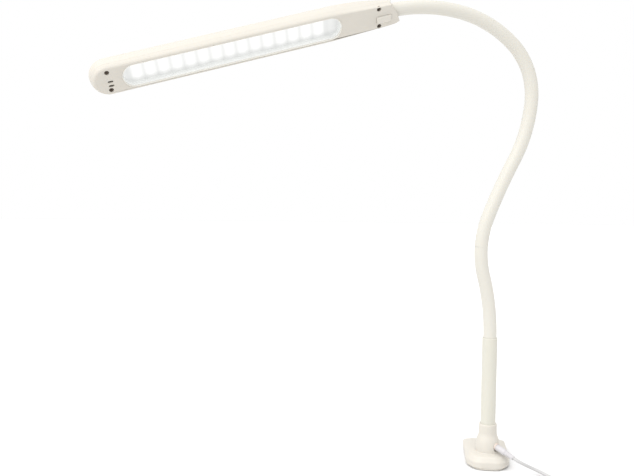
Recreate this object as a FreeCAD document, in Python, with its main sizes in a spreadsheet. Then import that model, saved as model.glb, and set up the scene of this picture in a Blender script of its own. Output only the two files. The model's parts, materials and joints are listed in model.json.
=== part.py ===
import FreeCAD, Part
import Sketcher
import math
import os
from FreeCAD import Placement, Rotation, Vector

# Clip-on reading lamp. A small domed base carries a slim sleeve tube and a long gooseneck, and the
# gooseneck carries a wand-shaped LED head. Millimetres, +Z up. The origin is the middle of the base's
# underside, straight below the post. The base's long side runs along +Y, and the head hangs out over -X.

doc = FreeCAD.newDocument("ReadingLamp")
sheet = doc.addObject("Spreadsheet::Sheet", "Sizes")

DRIVING_SIZES = [
    # base
    ("base_half_width", 23.5), ("base_back", 53.0), ("base_front", 23.0), ("base_nose_half", 12.5),
    ("base_nose_depth", 17.0), ("base_corner", 8.0), ("base_shoulder", 20.0), ("base_bow", 14.0),
    ("base_wall_top", 8.6), ("base_dome_top", 15.5), ("plate_boss", 3.0), ("plate_screw_depth", 4.6),
    ("plate_screw_length", 5.2), ("plate_screw_sink", 1.2), ("post_rim", 0.9), ("grub_height", 38.0),
    ("grub_radius", 2.0), ("grub_length", 1.2),
    ("base_wall", 2.0), ("pad_thick", 0.8), ("plate_thick", 2.0), ("plate_inset", 0.5),
    ("pad_inset", 2.5), ("insert_outer", 3.2), ("insert_bore", 1.65), ("insert_length", 6.0),
    ("insert_first", 16.0), ("insert_pitch", 30.0),
    # post and sleeve
    ("post_radius", 9.6), ("post_top", 45.5), ("post_straight_from", 32.0), ("flare_radius", 14.0),
    ("sleeve_radius", 8.0), ("sleeve_wall", 0.95), ("sleeve_foot", 31.0), ("sleeve_top", 140.4),
    ("slip_fit", 0.05), ("free_gap", 0.3),
    # gooseneck
    ("neck_radius", 7.0), ("core_radius", 4.5), ("core_wall", 1.5), ("wire_radius", 1.6),
    ("wire_room", 0.6), ("core_setback", 1.0),
    ("neck_root_from", 60.0), ("neck_start", 142.6), ("link_length", 65.3), ("last_link_length", 80.0),
    ("ball_gap", 0.3),
    # lamp head, in its own frame: +X to the tip from the neck's end, -Z out of the lit side
    ("face_drop", 9.0), ("head_top", 11.5), ("head_part_line", -4.0), ("face_half", 14.0),
    ("part_half", 15.2), ("crown_half", 17.0), ("crown_fillet", 7.0), ("head_wall", 1.8),
    ("tip_centre", 283.0), ("heel_taper", 62.0), ("collar_radius", 8.7), ("collar_reach", 3.5),
    ("nose_reach", 12.0), ("nose_half", 9.5), ("nose_taper_to", 25.0),
    ("window_centre", 161.5), ("window_length", 216.0), ("window_width", 22.0), ("rim_width", 0.9),
    ("rim_proud", 0.25), ("tray_height", 8.0), ("tray_wall", 1.0), ("diffuser_thick", 1.5),
    ("led_board_length", 205.0), ("led_board_width", 22.0), ("board_thick", 1.6),
    ("spreader_length", 196.0), ("spreader_width", 16.0), ("spreader_thick", 0.8),
    ("led_pitch", 12.8), ("led_side", 5.0), ("led_thick", 1.4),
    ("screw_head", 2.0), ("screw_shank", 1.15), ("screw_recess", 2.3), ("screw_boss", 2.4),
    ("heel_screw_at", 13.5), ("heel_screw_half", 9.1), ("tip_screw_half", 9.3),
    ("button_centre", 8.5), ("button_side", -2.4), ("button_length", 15.4), ("button_width", 7.0),
    ("button_proud", 1.5), ("button_travel", 1.0),
    ("driver_from", 20.5), ("driver_length", 28.0), ("driver_width", 19.0), ("driver_height", -1.8),
    ("driver_post", 1.3), ("vent_length", 5.2), ("vent_width", 2.0), ("screw_seat_depth", 3.4),
    ("stud_radius", 4.0), ("stud_length", 11.0), ("stud_flange", 2.0), ("bush_half", 4.9), ("bush_end", 7.0),
    ("nut_wall", 0.9), ("nut_length", 2.5), ("button_gap", 0.15), ("button_edge", 0.7),
    ("flange_reach", 0.6), ("flange_thick", 0.8), ("plunger_radius", 1.0), ("head_wire_radius", 0.7),
    # supply lead
    ("plug_radius", 3.5), ("plug_out", 13.0), ("plug_in", 3.0), ("relief_length", 11.0),
    ("lead_radius", 1.75), ("jack_height", 22.0), ("jack_out", 12.2), ("jack_radius", 4.1),
    ("jack_recess", 2.6), ("jack_depth", 10.5), ("barrel_radius", 1.7), ("base_wire_radius", 1.2),
    ("relief_root", 2.9), ("relief_end_wall", 0.45), ("relief_groove", 0.8), ("relief_pitch", 1.9),
    ("coil_mean", 19.25), ("coil_half_width", 5.5), ("coil_height", 10.8),
    ("coil_corner", 1.7), ("tie_width", 8.0), ("tie_thick", 0.9),
    ("usb_body_length", 24.0), ("usb_body_width", 15.0), ("usb_body_height", 8.0), ("usb_body_edge", 1.6),
    ("usb_shell_length", 13.0), ("usb_shell_width", 12.0), ("usb_shell_height", 4.5), ("usb_sheet", 0.4),
    ("usb_neck_length", 4.0), ("usb_neck_root", 2.4), ("usb_neck_foot", 3.2), ("usb_tongue_thick", 1.8),
]
for row, (alias, value) in enumerate(DRIVING_SIZES, start=1):
    sheet.set("A%d" % row, alias)
    sheet.set("B%d" % row, str(value))
    sheet.setAlias("B%d" % row, alias)
doc.recompute()


def mm(alias):
    return float(sheet.get(alias))


# The plane of the neck leans to the camera side of -X by this turn, and the head is rolled in it.
NECK_HEADING = 200.0
HEAD_ROLL = 54.0
NECK_TURNS = (15.5, -37.5, -6.5, 24.0, 51.5, 30.5, 27.0)
JACK_HEADING = -45.0
JACK_DIP = 14.0
LED_COUNT = 15
X_AXIS = Vector(1, 0, 0)
Y_AXIS = Vector(0, 1, 0)
Z_AXIS = Vector(0, 0, 1)
nodes = {}


# ---- ways of making a piece -----------------------------------------------------------------------

def keep(name, shape, placement=None):
    """Store a shape made by code as the named sub-part."""
    piece = doc.addObject("Part::Feature", name)
    piece.Label = name
    piece.Shape = shape
    if placement is not None:
        piece.Placement = placement
    nodes[name] = piece
    return piece


def tube(name, outer, bore, length, placement):
    """A tube whose three sizes are expressions on the sheet."""
    solids = []
    for part, radius in (("outside", outer), ("bore", bore)):
        cylinder = doc.addObject("Part::Cylinder", name + "_" + part)
        cylinder.setExpression("Radius", radius)
        cylinder.setExpression("Height", length)
        solids.append(cylinder)
    cut = doc.addObject("Part::Cut", name)
    cut.Base, cut.Tool = solids
    cut.Label = name
    cut.Placement = placement
    nodes[name] = cut
    return cut


def pad_body(name, draw, thickness, placement):
    """A PartDesign body: one sketch, drawn by draw(sketch), padded by an expression."""
    body = doc.addObject("PartDesign::Body", name)
    body.Label = name
    sketch = body.newObject("Sketcher::SketchObject", name + "_sketch")
    flat = [plane for plane in body.Origin.OriginFeatures if plane.Role == "XY_Plane"][0]
    sketch.AttachmentSupport = [(flat, "")]
    sketch.MapMode = "FlatFace"
    draw(sketch)
    pad = body.newObject("PartDesign::Pad", name + "_pad")
    pad.Profile = sketch
    pad.setExpression("Length", thickness)
    body.Placement = placement
    nodes[name] = body
    return body


def draw_rectangle(length, width):
    """A sketch of a centred rectangle with its sides bound to two expressions."""
    def draw(sketch):
        corners = [Vector(-2, -1, 0), Vector(2, -1, 0), Vector(2, 1, 0), Vector(-2, 1, 0)]
        for side in range(4):
            sketch.addGeometry(Part.LineSegment(corners[side], corners[(side + 1) % 4]))
        for side in range(4):
            sketch.addConstraint(Sketcher.Constraint("Coincident", side, 2, (side + 1) % 4, 1))
        for side, kind in enumerate(("Horizontal", "Vertical", "Horizontal", "Vertical")):
            sketch.addConstraint(Sketcher.Constraint(kind, side))
        sketch.addConstraint(Sketcher.Constraint("Symmetric", 0, 1, 1, 2, -1, 1))
        along = sketch.addConstraint(Sketcher.Constraint("DistanceX", 0, 1, 0, 2, 4.0))
        across = sketch.addConstraint(Sketcher.Constraint("DistanceY", 1, 1, 1, 2, 2.0))
        sketch.setExpression("Constraints[%d]" % along, length)
        sketch.setExpression("Constraints[%d]" % across, width)
    return draw


def draw_stadium(length, width):
    """A sketch of a centred slot with round ends, bound to two expressions."""
    def draw(sketch):
        radius = mm("window_width") / 2
        half = mm("window_length") / 2 - radius
        sketch.addGeometry(Part.LineSegment(Vector(-half, -radius, 0), Vector(half, -radius, 0)))
        sketch.addGeometry(Part.ArcOfCircle(Part.Circle(Vector(half, 0, 0), Z_AXIS, radius),
                                            -math.pi / 2, math.pi / 2))
        sketch.addGeometry(Part.LineSegment(Vector(half, radius, 0), Vector(-half, radius, 0)))
        sketch.addGeometry(Part.ArcOfCircle(Part.Circle(Vector(-half, 0, 0), Z_AXIS, radius),
                                            math.pi / 2, math.pi * 1.5))
        for first, end, second, start in ((0, 2, 1, 1), (1, 2, 2, 1), (2, 2, 3, 1), (3, 2, 0, 1)):
            sketch.addConstraint(Sketcher.Constraint("Tangent", first, end, second, start))
        sketch.addConstraint(Sketcher.Constraint("Horizontal", 0))
        sketch.addConstraint(Sketcher.Constraint("Symmetric", 1, 3, 3, 3, -1, 1))
        across = sketch.addConstraint(Sketcher.Constraint("Radius", 1, radius))
        along = sketch.addConstraint(Sketcher.Constraint("DistanceX", 3, 3, 1, 3, 2 * half))
        sketch.setExpression("Constraints[%d]" % across, "(%s) / 2" % width)
        sketch.setExpression("Constraints[%d]" % along, "(%s) - (%s)" % (length, width))
    return draw


def rod(radius, start, end):
    """A plain cylinder from one point to another."""
    return Part.makeCylinder(radius, (end - start).Length, start, end - start)


def block(low, high):
    return Part.makeBox(high.x - low.x, high.y - low.y, high.z - low.z, low)


def rounded_wire(points, radii, height):
    """A closed flat outline through corner points, each corner rounded by its own radius."""
    corners = [Vector(x, y, height) for x, y in points]
    starts, ends, middles = [], [], []
    for index, corner in enumerate(corners):
        back = (corners[index - 1] - corner).normalize()
        ahead = (corners[(index + 1) % len(corners)] - corner).normalize()
        half = back.getAngle(ahead) / 2
        reach = radii[index] / math.tan(half)
        inward = (back + ahead).normalize()
        starts.append(corner + back * reach)
        ends.append(corner + ahead * reach)
        middles.append(corner + inward * (radii[index] / math.sin(half) - radii[index]))
    edges = []
    for index in range(len(corners)):
        edges.append(Part.Arc(starts[index], middles[index], ends[index]).toShape())
        following = (index + 1) % len(corners)
        edges.append(Part.LineSegment(ends[index], starts[following]).toShape())
    return Part.Wire(edges)


def raised(wire, height):
    return Part.Face(wire).extrude(Vector(0, 0, height))


def stadium(length, width, low, high):
    """An upright solid with a slot-shaped outline, centred on the window."""
    half = (length - width) / 2
    middle = mm("window_centre")
    ends = [Part.makeCylinder(width / 2, high - low, Vector(middle + side * half, 0, low))
            for side in (-1, 1)]
    bar = block(Vector(middle - half, -width / 2, low), Vector(middle + half, width / 2, high))
    return bar.fuse(ends).removeSplitter()


def tangent_route(points):
    """Straight runs joined by arcs, each arc as large as its two shorter half-runs allow."""
    edges, radii = [], []
    here = points[0]
    for before, corner, after in zip(points, points[1:], points[2:]):
        back, ahead = before - corner, after - corner
        half_turn = (math.pi - back.getAngle(ahead)) / 2
        cut = 0.45 * min(back.Length, ahead.Length)
        radius = cut / math.tan(half_turn)
        radii.append(radius)
        back.normalize()
        ahead.normalize()
        arc_start, arc_end = corner + back * cut, corner + ahead * cut
        to_middle = (back + ahead).normalize() * (radius / math.cos(half_turn) - radius)
        edges.append(Part.LineSegment(here, arc_start).toShape())
        edges.append(Part.Arc(arc_start, corner + to_middle, arc_end).toShape())
        here = arc_end
    edges.append(Part.LineSegment(here, points[-1]).toShape())
    return Part.Wire(edges), radii


def swept(points, radius):
    """A round wire or lead along a route of points. Returns the solid, its length and its radii."""
    route, radii = tangent_route(points)
    ring = Part.Wire([Part.Circle(points[0], points[1] - points[0], radius).toShape()])
    solid = route.makePipeShell([ring], True, False)
    return solid, route.Length, radii


# ---- base: pad, plate, domed shell with its flared post ---------------------------------------------

def base_outline(inset, height):
    half = mm("base_half_width") - inset
    nose = mm("base_nose_half") - inset * 0.55
    front = mm("base_front") - inset
    back = mm("base_back") - inset
    shoulder = front - mm("base_nose_depth") + inset * 0.4
    return rounded_wire(base_corners(half, back, front, nose, shoulder), base_radii(inset, 1.0), height)


def base_corners(half, back, front, nose, shoulder):
    return [(half, -shoulder), (half, back), (-half, back), (-half, -shoulder), (-nose, -front),
            (nose, -front)]


def base_radii(inset, share):
    """Corner radii in the order of base_corners, drawn in with the wall and the dome."""
    shoulder, corner, bow = [(mm(size) - inset) * share for size in ("base_shoulder", "base_corner",
                                                                    "base_bow")]
    return [shoulder, corner, corner, shoulder, bow, bow]


def dome(inset, foot, wall_top, dome_top):
    """The pillow shape of the base, drawn in by an inset so that it also makes the hollow."""
    wall = raised(base_outline(inset, foot), wall_top - foot)
    rim = base_outline(inset, wall_top)
    rise = dome_top - wall_top
    levels = [rim, scaled_outline(inset, 0.93, wall_top + rise * 0.22),
              scaled_outline(inset, 0.72, wall_top + rise * 0.68), scaled_outline(inset, 0.5, dome_top)]
    return wall.fuse(Part.makeLoft(levels, True, True)).removeSplitter()


def scaled_outline(inset, share, height):
    """The base outline drawn in towards the post, for the sloping top."""
    half = (mm("base_half_width") - inset) * share
    back = (mm("base_back") - inset) * share
    front = (mm("base_front") - inset) * (0.35 + 0.65 * share)
    nose = (mm("base_nose_half") - inset * 0.55) * share
    shoulder = front - mm("base_nose_depth") * share
    return rounded_wire(base_corners(half, back, front, nose, shoulder), base_radii(inset, share), height)


def post_solid(shrink, top):
    """The flared post as a turned solid up to top, drawn in by shrink for its hollow."""
    foot = mm("plate_thick") + mm("pad_thick")
    radius, flare = mm("post_radius") - shrink, mm("flare_radius") - shrink
    straight, dome_top = mm("post_straight_from"), mm("base_dome_top") - 1.0
    bend = Vector(radius + (flare - radius) * 0.32, 0, dome_top + (straight - dome_top) * 0.40)
    outline = [
        Part.LineSegment(Vector(0, 0, foot), Vector(flare, 0, foot)).toShape(),
        Part.LineSegment(Vector(flare, 0, foot), Vector(flare, 0, dome_top)).toShape(),
        Part.Arc(Vector(flare, 0, dome_top), bend, Vector(radius, 0, straight)).toShape(),
        Part.LineSegment(Vector(radius, 0, straight), Vector(radius, 0, mm("post_top"))).toShape(),
        Part.LineSegment(Vector(radius, 0, mm("post_top")), Vector(0, 0, mm("post_top"))).toShape(),
        Part.LineSegment(Vector(0, 0, mm("post_top")), Vector(0, 0, foot)).toShape(),
    ]
    post = Part.Face(Part.Wire(outline)).revolve(Vector(0, 0, 0), Z_AXIS, 360)
    return post.common(Part.makeCylinder(flare + 1, top - foot, Vector(0, 0, foot)))


jack_way = Rotation(Z_AXIS, JACK_HEADING).multVec(
    Vector(math.cos(math.radians(JACK_DIP)), 0, -math.sin(math.radians(JACK_DIP))))
jack_mouth = Rotation(Z_AXIS, JACK_HEADING).multVec(Vector(mm("jack_out"), 0, mm("jack_height")))
plate_screw_places = [(-18.0, 45.5), (18.0, 45.5), (-17.0, 2.0), (17.0, 2.0)]
insert_places = [(0.0, mm("insert_first")), (0.0, mm("insert_first") + mm("insert_pitch"))]
plate_foot = mm("pad_thick")
plate_head = mm("pad_thick") + mm("plate_thick")


def base_shell():
    wall = mm("base_wall")
    outside = dome(0.0, plate_head, mm("base_wall_top"), mm("base_dome_top"))
    outside = outside.fuse(post_solid(0.0, mm("post_top")))
    hollow = dome(wall, plate_head, mm("base_wall_top") - wall * 0.5, mm("base_dome_top") - wall)
    hollow = hollow.fuse(post_solid(wall, mm("post_straight_from") - wall - 2.0))
    shell = outside.cut(hollow)
    for x, y in plate_screw_places:
        boss = rod(mm("plate_boss"), Vector(x, y, plate_head), Vector(x, y, mm("base_dome_top")))
        shell = shell.fuse(boss.common(outside))
    shell = shell.cut(rod(mm("sleeve_radius") + mm("slip_fit"), Vector(0, 0, mm("sleeve_foot")),
                          Vector(0, 0, mm("post_top") + 1)))
    shell = shell.cut(rod(mm("neck_radius") - 1.0, Vector(0, 0, 20), Vector(0, 0, mm("post_top"))))
    for x, y in plate_screw_places:
        foot = Vector(x, y, plate_head)
        shell = shell.cut(rod(mm("screw_shank"), foot, foot + Z_AXIS * mm("plate_screw_depth")))
    shell = shell.cut(rod(mm("jack_radius"), jack_mouth - jack_way * 14, jack_mouth + jack_way * 6))
    grub = Vector(0, mm("sleeve_radius"), mm("grub_height"))
    shell = shell.cut(rod(mm("grub_radius"), grub, grub + Y_AXIS * 4))
    rims = [edge for edge in shell.Edges
            if abs(edge.BoundBox.ZMin - mm("post_top")) < 1e-4 and edge.BoundBox.ZLength < 1e-4
            and edge.BoundBox.XLength > 2 * mm("post_radius") - 0.1]
    return shell.makeChamfer(mm("post_rim"), rims)


def base_plate():
    plate = raised(base_outline(mm("plate_inset"), plate_foot), mm("plate_thick"))
    for x, y in plate_screw_places:
        plate = plate.cut(rod(mm("screw_shank") + 0.1, Vector(x, y, 0), Vector(x, y, 5)))
        sink = Vector(x, y, plate_foot + mm("plate_screw_sink"))
        plate = plate.cut(rod(mm("screw_head") + 0.2, Vector(x, y, 0), sink))
    for x, y in insert_places:
        plate = plate.cut(rod(mm("insert_outer"), Vector(x, y, 0), Vector(x, y, 5)))
    return plate


def base_pad():
    pad = raised(base_outline(mm("pad_inset"), 0), mm("pad_thick"))
    for x, y in plate_screw_places:
        pad = pad.cut(rod(mm("screw_head") + 0.5, Vector(x, y, -1), Vector(x, y, 2)))
    for x, y in insert_places:
        pad = pad.cut(rod(mm("insert_bore") + 0.6, Vector(x, y, -1), Vector(x, y, 2)))
    return pad


def pan_screw(at, way, head_radius, head_height, shank_radius, length):
    """A screw with a cross slot: at is the underside of its head, way points down its shank."""
    screw = rod(head_radius, at - way * head_height, at).fuse(rod(shank_radius, at, at + way * length))
    across = way.cross(X_AXIS if abs(way.x) < 0.9 else Y_AXIS).normalize()
    for side in (across, way.cross(across).normalize()):
        third = way.cross(side).normalize()
        corner = at - way * (head_height + 0.1) - side * (head_radius * 0.62) - third * 0.28
        slot = Part.Face(Part.makePolygon([
            corner, corner + side * head_radius * 1.24, corner + side * head_radius * 1.24 + third * 0.56,
            corner + third * 0.56, corner])).extrude(way * (head_height * 0.5 + 0.1))
        screw = screw.cut(slot)
    return screw


keep("base_shell", base_shell())
keep("base_plate", base_plate())
keep("base_pad", base_pad())
keep("plate_screws", Part.makeCompound([
    pan_screw(Vector(x, y, plate_foot + mm("plate_screw_sink")), Z_AXIS, mm("screw_head"), 1.0,
              mm("screw_shank"), mm("plate_screw_length"))
    for x, y in plate_screw_places]))
keep("threaded_inserts", Part.makeCompound([
    rod(mm("insert_outer"), Vector(x, y, plate_foot), Vector(x, y, plate_foot + mm("insert_length")))
    .cut(rod(mm("insert_bore"), Vector(x, y, 0), Vector(x, y, 12))) for x, y in insert_places]))
grub_at = Vector(0, mm("sleeve_radius") + mm("slip_fit"), mm("grub_height"))
keep("grub_screw", rod(mm("grub_radius"), grub_at, grub_at + Y_AXIS * mm("grub_length")))

# ---- sleeve tube and the neck's root inside it -------------------------------------------------------
tube("sleeve_tube", "Sizes.sleeve_radius", "Sizes.sleeve_radius - Sizes.sleeve_wall",
     "Sizes.sleeve_top - Sizes.sleeve_foot", Placement(Vector(0, 0, mm("sleeve_foot")), Rotation()))


class Link:
    """One rigid stretch of the gooseneck: an arc in the neck's plane, from one hinge to the next."""

    def __init__(self, start, heading, length, turn):
        self.start, self.length, self.turn = start, length, turn
        self.away = heading
        self.bend_axis = NECK_SIDE
        self.radius = length / math.radians(turn)
        to_centre = self.bend_axis.cross(heading)
        self.centre = start + to_centre * self.radius
        self.end = self.point(1.0)
        self.end_way = self.way(1.0)

    def turned(self, share):
        return Rotation(self.bend_axis, self.turn * share)

    def point(self, share):
        return self.centre + self.turned(share).multVec(self.start - self.centre)

    def way(self, share):
        return self.turned(share).multVec(self.away)

    def arc_solid(self, radius, from_length, to_length):
        """A round bar of the given radius along part of the arc."""
        first, last = from_length / self.length, to_length / self.length
        disc = Part.Face(Part.Wire([Part.Circle(self.point(first), self.way(first), radius).toShape()]))
        return disc.revolve(self.centre, self.bend_axis, self.turn * (last - first))


NECK_PLANE = Rotation(Z_AXIS, NECK_HEADING)
NECK_SIDE = NECK_PLANE.multVec(Y_AXIS)
neck_foot = Vector(0, 0, mm("neck_start"))
links = []
hinge, heading = neck_foot, Z_AXIS
for number, turn in enumerate(NECK_TURNS, start=1):
    length = mm("last_link_length") if number == len(NECK_TURNS) else mm("link_length")
    links.append(Link(hinge, heading, length, turn))
    hinge, heading = links[-1].end, links[-1].end_way


def link_skin(link, ball):
    """Plastic skin of a link: a cup at its lower end and, but for the last link, a ball at its upper."""
    skin = link.arc_solid(mm("neck_radius"), 0, link.length)
    if ball:
        skin = skin.fuse(Part.makeSphere(mm("neck_radius"), link.end))
    skin = skin.cut(Part.makeSphere(mm("neck_radius") + mm("ball_gap"), link.start))
    skin = skin.cut(link.arc_solid(mm("core_radius"), 0, link.length - mm("neck_radius")))
    bore = mm("wire_radius") + mm("wire_room")
    skin = skin.cut(link.arc_solid(bore, link.length - mm("neck_radius") - 1, link.length))
    if ball:
        skin = skin.cut(rod(bore, link.end, link.end + link.end_way * 9))
    return skin


def link_core(link):
    """Steel core of a link, a tube inside the skin."""
    first = mm("neck_radius") + mm("ball_gap") + mm("core_setback")
    last = link.length - mm("neck_radius")
    core = link.arc_solid(mm("core_radius"), first, last)
    return core.cut(link.arc_solid(mm("core_radius") - mm("core_wall"), 0, link.length))


def link_wire(link):
    """The stretch of supply wire that runs through a link."""
    first = mm("neck_radius") + mm("ball_gap") + mm("core_setback")
    return link.arc_solid(mm("wire_radius"), first, link.length - mm("core_setback"))


def neck_root_skin():
    """The straight foot of the skin inside the sleeve, with the ball of the first hinge."""
    skin = rod(mm("neck_radius"), Vector(0, 0, mm("neck_root_from")), neck_foot)
    skin = skin.fuse(Part.makeSphere(mm("neck_radius"), neck_foot))
    skin = skin.cut(rod(mm("core_radius"), Vector(0, 0, 0), neck_foot - Z_AXIS * mm("neck_radius")))
    return skin.cut(rod(mm("wire_radius") + mm("wire_room"), Vector(0, 0, 0), neck_foot + Z_AXIS * 9))


keep("neck_root_skin", neck_root_skin())
tube("neck_root_core", "Sizes.core_radius", "Sizes.core_radius - Sizes.core_wall",
     "Sizes.neck_start - Sizes.neck_radius - Sizes.neck_root_from",
     Placement(Vector(0, 0, mm("neck_root_from")), Rotation()))
for number, link in enumerate(links, start=1):
    keep("neck_skin_%d" % number, link_skin(link, number < len(links)))
    keep("neck_core_%d" % number, link_core(link))
    keep("neck_wire_%d" % number, link_wire(link))

# ---- lamp head: its frame, shells, window, lights and driver ------------------------------------------
neck_end = links[-1].end
head_droop = sum(NECK_TURNS) - 90.0
HEAD = Placement(neck_end, NECK_PLANE.multiply(Rotation(Y_AXIS, head_droop))
                 .multiply(Rotation(X_AXIS, HEAD_ROLL)))
face = -mm("face_drop")
part_line = mm("head_part_line")
crown = mm("head_top")
wall = mm("head_wall")
floor_top = face + wall


def upper_outline(half, inset, height):
    """Plan of the upper shell: round tip, straight sides and a long taper to the collar."""
    heel, heel_half = inset, mm("collar_radius") - inset
    taper, tip = mm("heel_taper"), mm("tip_centre")
    drop = half - heel_half
    sweep_radius = (drop * drop + (taper - heel) ** 2) / (2 * drop)
    middle_x = heel + (taper - heel) * 0.5
    middle_y = half - sweep_radius + math.sqrt(sweep_radius ** 2 - (taper - middle_x) ** 2)
    corners = {side: [Vector(heel, side * heel_half, height), Vector(middle_x, side * middle_y, height),
                      Vector(taper, side * half, height), Vector(tip, side * half, height)]
               for side in (-1, 1)}
    nose = Vector(tip + half, 0, height)
    bow = half * math.sqrt(0.5)
    return Part.Wire([
        Part.LineSegment(corners[1][0], corners[-1][0]).toShape(),
        Part.Arc(*corners[-1][:3]).toShape(),
        Part.LineSegment(corners[-1][2], corners[-1][3]).toShape(),
        Part.Arc(corners[-1][3], Vector(tip + bow, -bow, height), nose).toShape(),
        Part.Arc(nose, Vector(tip + bow, bow, height), corners[1][3]).toShape(),
        Part.LineSegment(corners[1][3], corners[1][2]).toShape(),
        Part.Arc(corners[1][2], corners[1][1], corners[1][0]).toShape(),
    ])


def lower_outline(half, nose_x, nose_half, height):
    """Plan of the lower shell: round tip, straight sides and a blunt nose under the neck."""
    shoulder, taper, tip = nose_x + 6.0, mm("nose_taper_to"), mm("tip_centre")
    bow = half * math.sqrt(0.5)
    return Part.Wire([
        Part.Arc(Vector(shoulder, nose_half, height), Vector(nose_x, 0, height),
                 Vector(shoulder, -nose_half, height)).toShape(),
        Part.LineSegment(Vector(shoulder, -nose_half, height), Vector(taper, -half, height)).toShape(),
        Part.LineSegment(Vector(taper, -half, height), Vector(tip, -half, height)).toShape(),
        Part.Arc(Vector(tip, -half, height), Vector(tip + bow, -bow, height),
                 Vector(tip + half, 0, height)).toShape(),
        Part.Arc(Vector(tip + half, 0, height), Vector(tip + bow, bow, height),
                 Vector(tip, half, height)).toShape(),
        Part.LineSegment(Vector(tip, half, height), Vector(taper, half, height)).toShape(),
        Part.LineSegment(Vector(taper, half, height), Vector(shoulder, nose_half, height)).toShape(),
    ])


head_screw_places = [(mm("heel_screw_at"), side * mm("heel_screw_half")) for side in (-1, 1)]
head_screw_places += [(mm("tip_centre"), side * mm("tip_screw_half")) for side in (-1, 1)]
screw_seat = face + mm("screw_seat_depth")
vent_places = [(mm("tip_centre") - 1.2, -0.6), (mm("tip_centre") - 1.2, -5.0)]


def fillet_crown(solid, height, radius):
    """Round the long edges where the flanks meet the crown."""
    edges = [edge for edge in solid.Edges
             if edge.BoundBox.ZLength < 1e-5 and abs(edge.BoundBox.ZMin - height) < 1e-5
             and edge.BoundBox.XLength > 1e-3]
    return solid.makeFillet(radius, edges)


def heel_slope(inset):
    """The space under the crown, which slopes down to the collar at the heel, drawn in by inset."""
    low, high = mm("collar_radius") + 0.3 - inset, crown - inset
    side = [Vector(-30, 0, -30), Vector(-30, 0, low), Vector(0, 0, low), Vector(mm("heel_taper"), 0, high),
            Vector(mm("tip_centre") + 30, 0, high), Vector(mm("tip_centre") + 30, 0, -30)]
    slice_face = Part.Face(Part.makePolygon(side + side[:1]))
    slice_face.translate(Vector(0, -30, 0))
    return slice_face.extrude(Vector(0, 60, 0))


def head_upper_shell():
    fillet = mm("crown_fillet")
    outside = Part.makeLoft([upper_outline(mm("part_half"), 0, part_line),
                             upper_outline(mm("crown_half"), 0, crown)], True, True)
    outside = fillet_crown(outside, crown, fillet).common(heel_slope(0))
    collar = rod(mm("collar_radius"), Vector(-mm("collar_reach"), 0, 0), Vector(14, 0, 0))
    collar = collar.common(block(Vector(-20, -20, part_line), Vector(40, 20, 20)))
    outside = outside.fuse(collar)
    inside = Part.makeLoft([upper_outline(mm("part_half") - wall, wall, part_line),
                            upper_outline(mm("crown_half") - wall, wall, crown - wall)], True, True)
    inside = fillet_crown(inside, crown - wall, fillet - wall).common(heel_slope(wall))
    shell = outside.cut(inside)
    for x, y in head_screw_places:
        boss = rod(mm("screw_boss"), Vector(x, y, part_line), Vector(x, y, crown - wall))
        shell = shell.fuse(boss.common(outside))
        shell = shell.cut(rod(mm("screw_shank"), Vector(x, y, part_line), Vector(x, y, 2)))
    return shell.cut(rod(mm("neck_radius") + mm("free_gap"), Vector(-20, 0, 0), Vector(wall, 0, 0)))


def head_lower_shell():
    nose_x, nose_half = -mm("nose_reach"), mm("nose_half")
    hollow_x = nose_x + 8.0
    outside = Part.makeLoft([lower_outline(mm("face_half"), nose_x, nose_half, face),
                             lower_outline(mm("part_half"), nose_x, nose_half + 0.6, part_line)], True, True)
    edges = [edge for edge in outside.Edges
             if edge.BoundBox.ZLength < 1e-5 and abs(edge.BoundBox.ZMin - face) < 1e-5]
    outside = outside.makeFillet(1.2, edges)
    hollow_half = mm("nose_half") - wall
    inside = Part.makeLoft([lower_outline(mm("face_half") - wall, hollow_x, hollow_half, floor_top),
                            lower_outline(mm("part_half") - wall, hollow_x, hollow_half + 0.6, part_line)],
                           True, True)
    shell = outside.cut(inside)
    for x, y in head_screw_places:
        boss = rod(mm("screw_recess") + 0.8, Vector(x, y, face), Vector(x, y, part_line))
        shell = shell.fuse(boss.common(outside))
    for x in (mm("driver_from") + 4, mm("driver_from") + mm("driver_length") - 4):
        for y in (-6.5, 6.5):
            shell = shell.fuse(rod(mm("driver_post"), Vector(x, y, floor_top),
                                   Vector(x, y, mm("driver_height"))))
    for x, y in head_screw_places:
        shell = shell.cut(rod(mm("screw_recess"), Vector(x, y, face - 1), Vector(x, y, screw_seat)))
        shell = shell.cut(rod(mm("screw_shank") + 0.1, Vector(x, y, face), Vector(x, y, 1)))
    for x, y in vent_places:
        vent = stadium(mm("vent_length"), mm("vent_width"), face - 1, floor_top + 0.1)
        vent.translate(Vector(x - mm("window_centre"), y, 0))
        shell = shell.cut(vent)
    rim = 2 * mm("rim_width")
    shell = shell.cut(stadium(mm("window_length") + rim, mm("window_width") + rim, face - 1, floor_top + 1))
    length, width = [mm(size) + 2 * mm("button_gap") for size in ("button_length", "button_width")]
    x, y = mm("button_centre"), mm("button_side")
    shell = shell.cut(block(Vector(x - length / 2, y - width / 2, face - 1),
                            Vector(x + length / 2, y + width / 2, floor_top + 1)))
    neck_room = rod(mm("neck_radius") + 1.0, Vector(-40, 0, 0), Vector(0.2, 0, 0))
    collar_room = rod(mm("collar_radius") + 0.1, Vector(-mm("collar_reach") - 0.1, 0, 0), Vector(14, 0, 0))
    collar_room = collar_room.common(block(Vector(-20, -20, part_line), Vector(40, 20, 20)))
    return shell.cut(neck_room).cut(collar_room)


def head_screws():
    return Part.makeCompound([pan_screw(Vector(x, y, screw_seat), Z_AXIS, mm("screw_head"), 1.4,
                                        mm("screw_shank"), 7.0) for x, y in head_screw_places])


def window_rim():
    rim = 2 * mm("rim_width")
    ring = stadium(mm("window_length") + rim, mm("window_width") + rim, face - mm("rim_proud"), floor_top)
    return ring.cut(stadium(mm("window_length"), mm("window_width"), face - 1, floor_top + 1))


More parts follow.
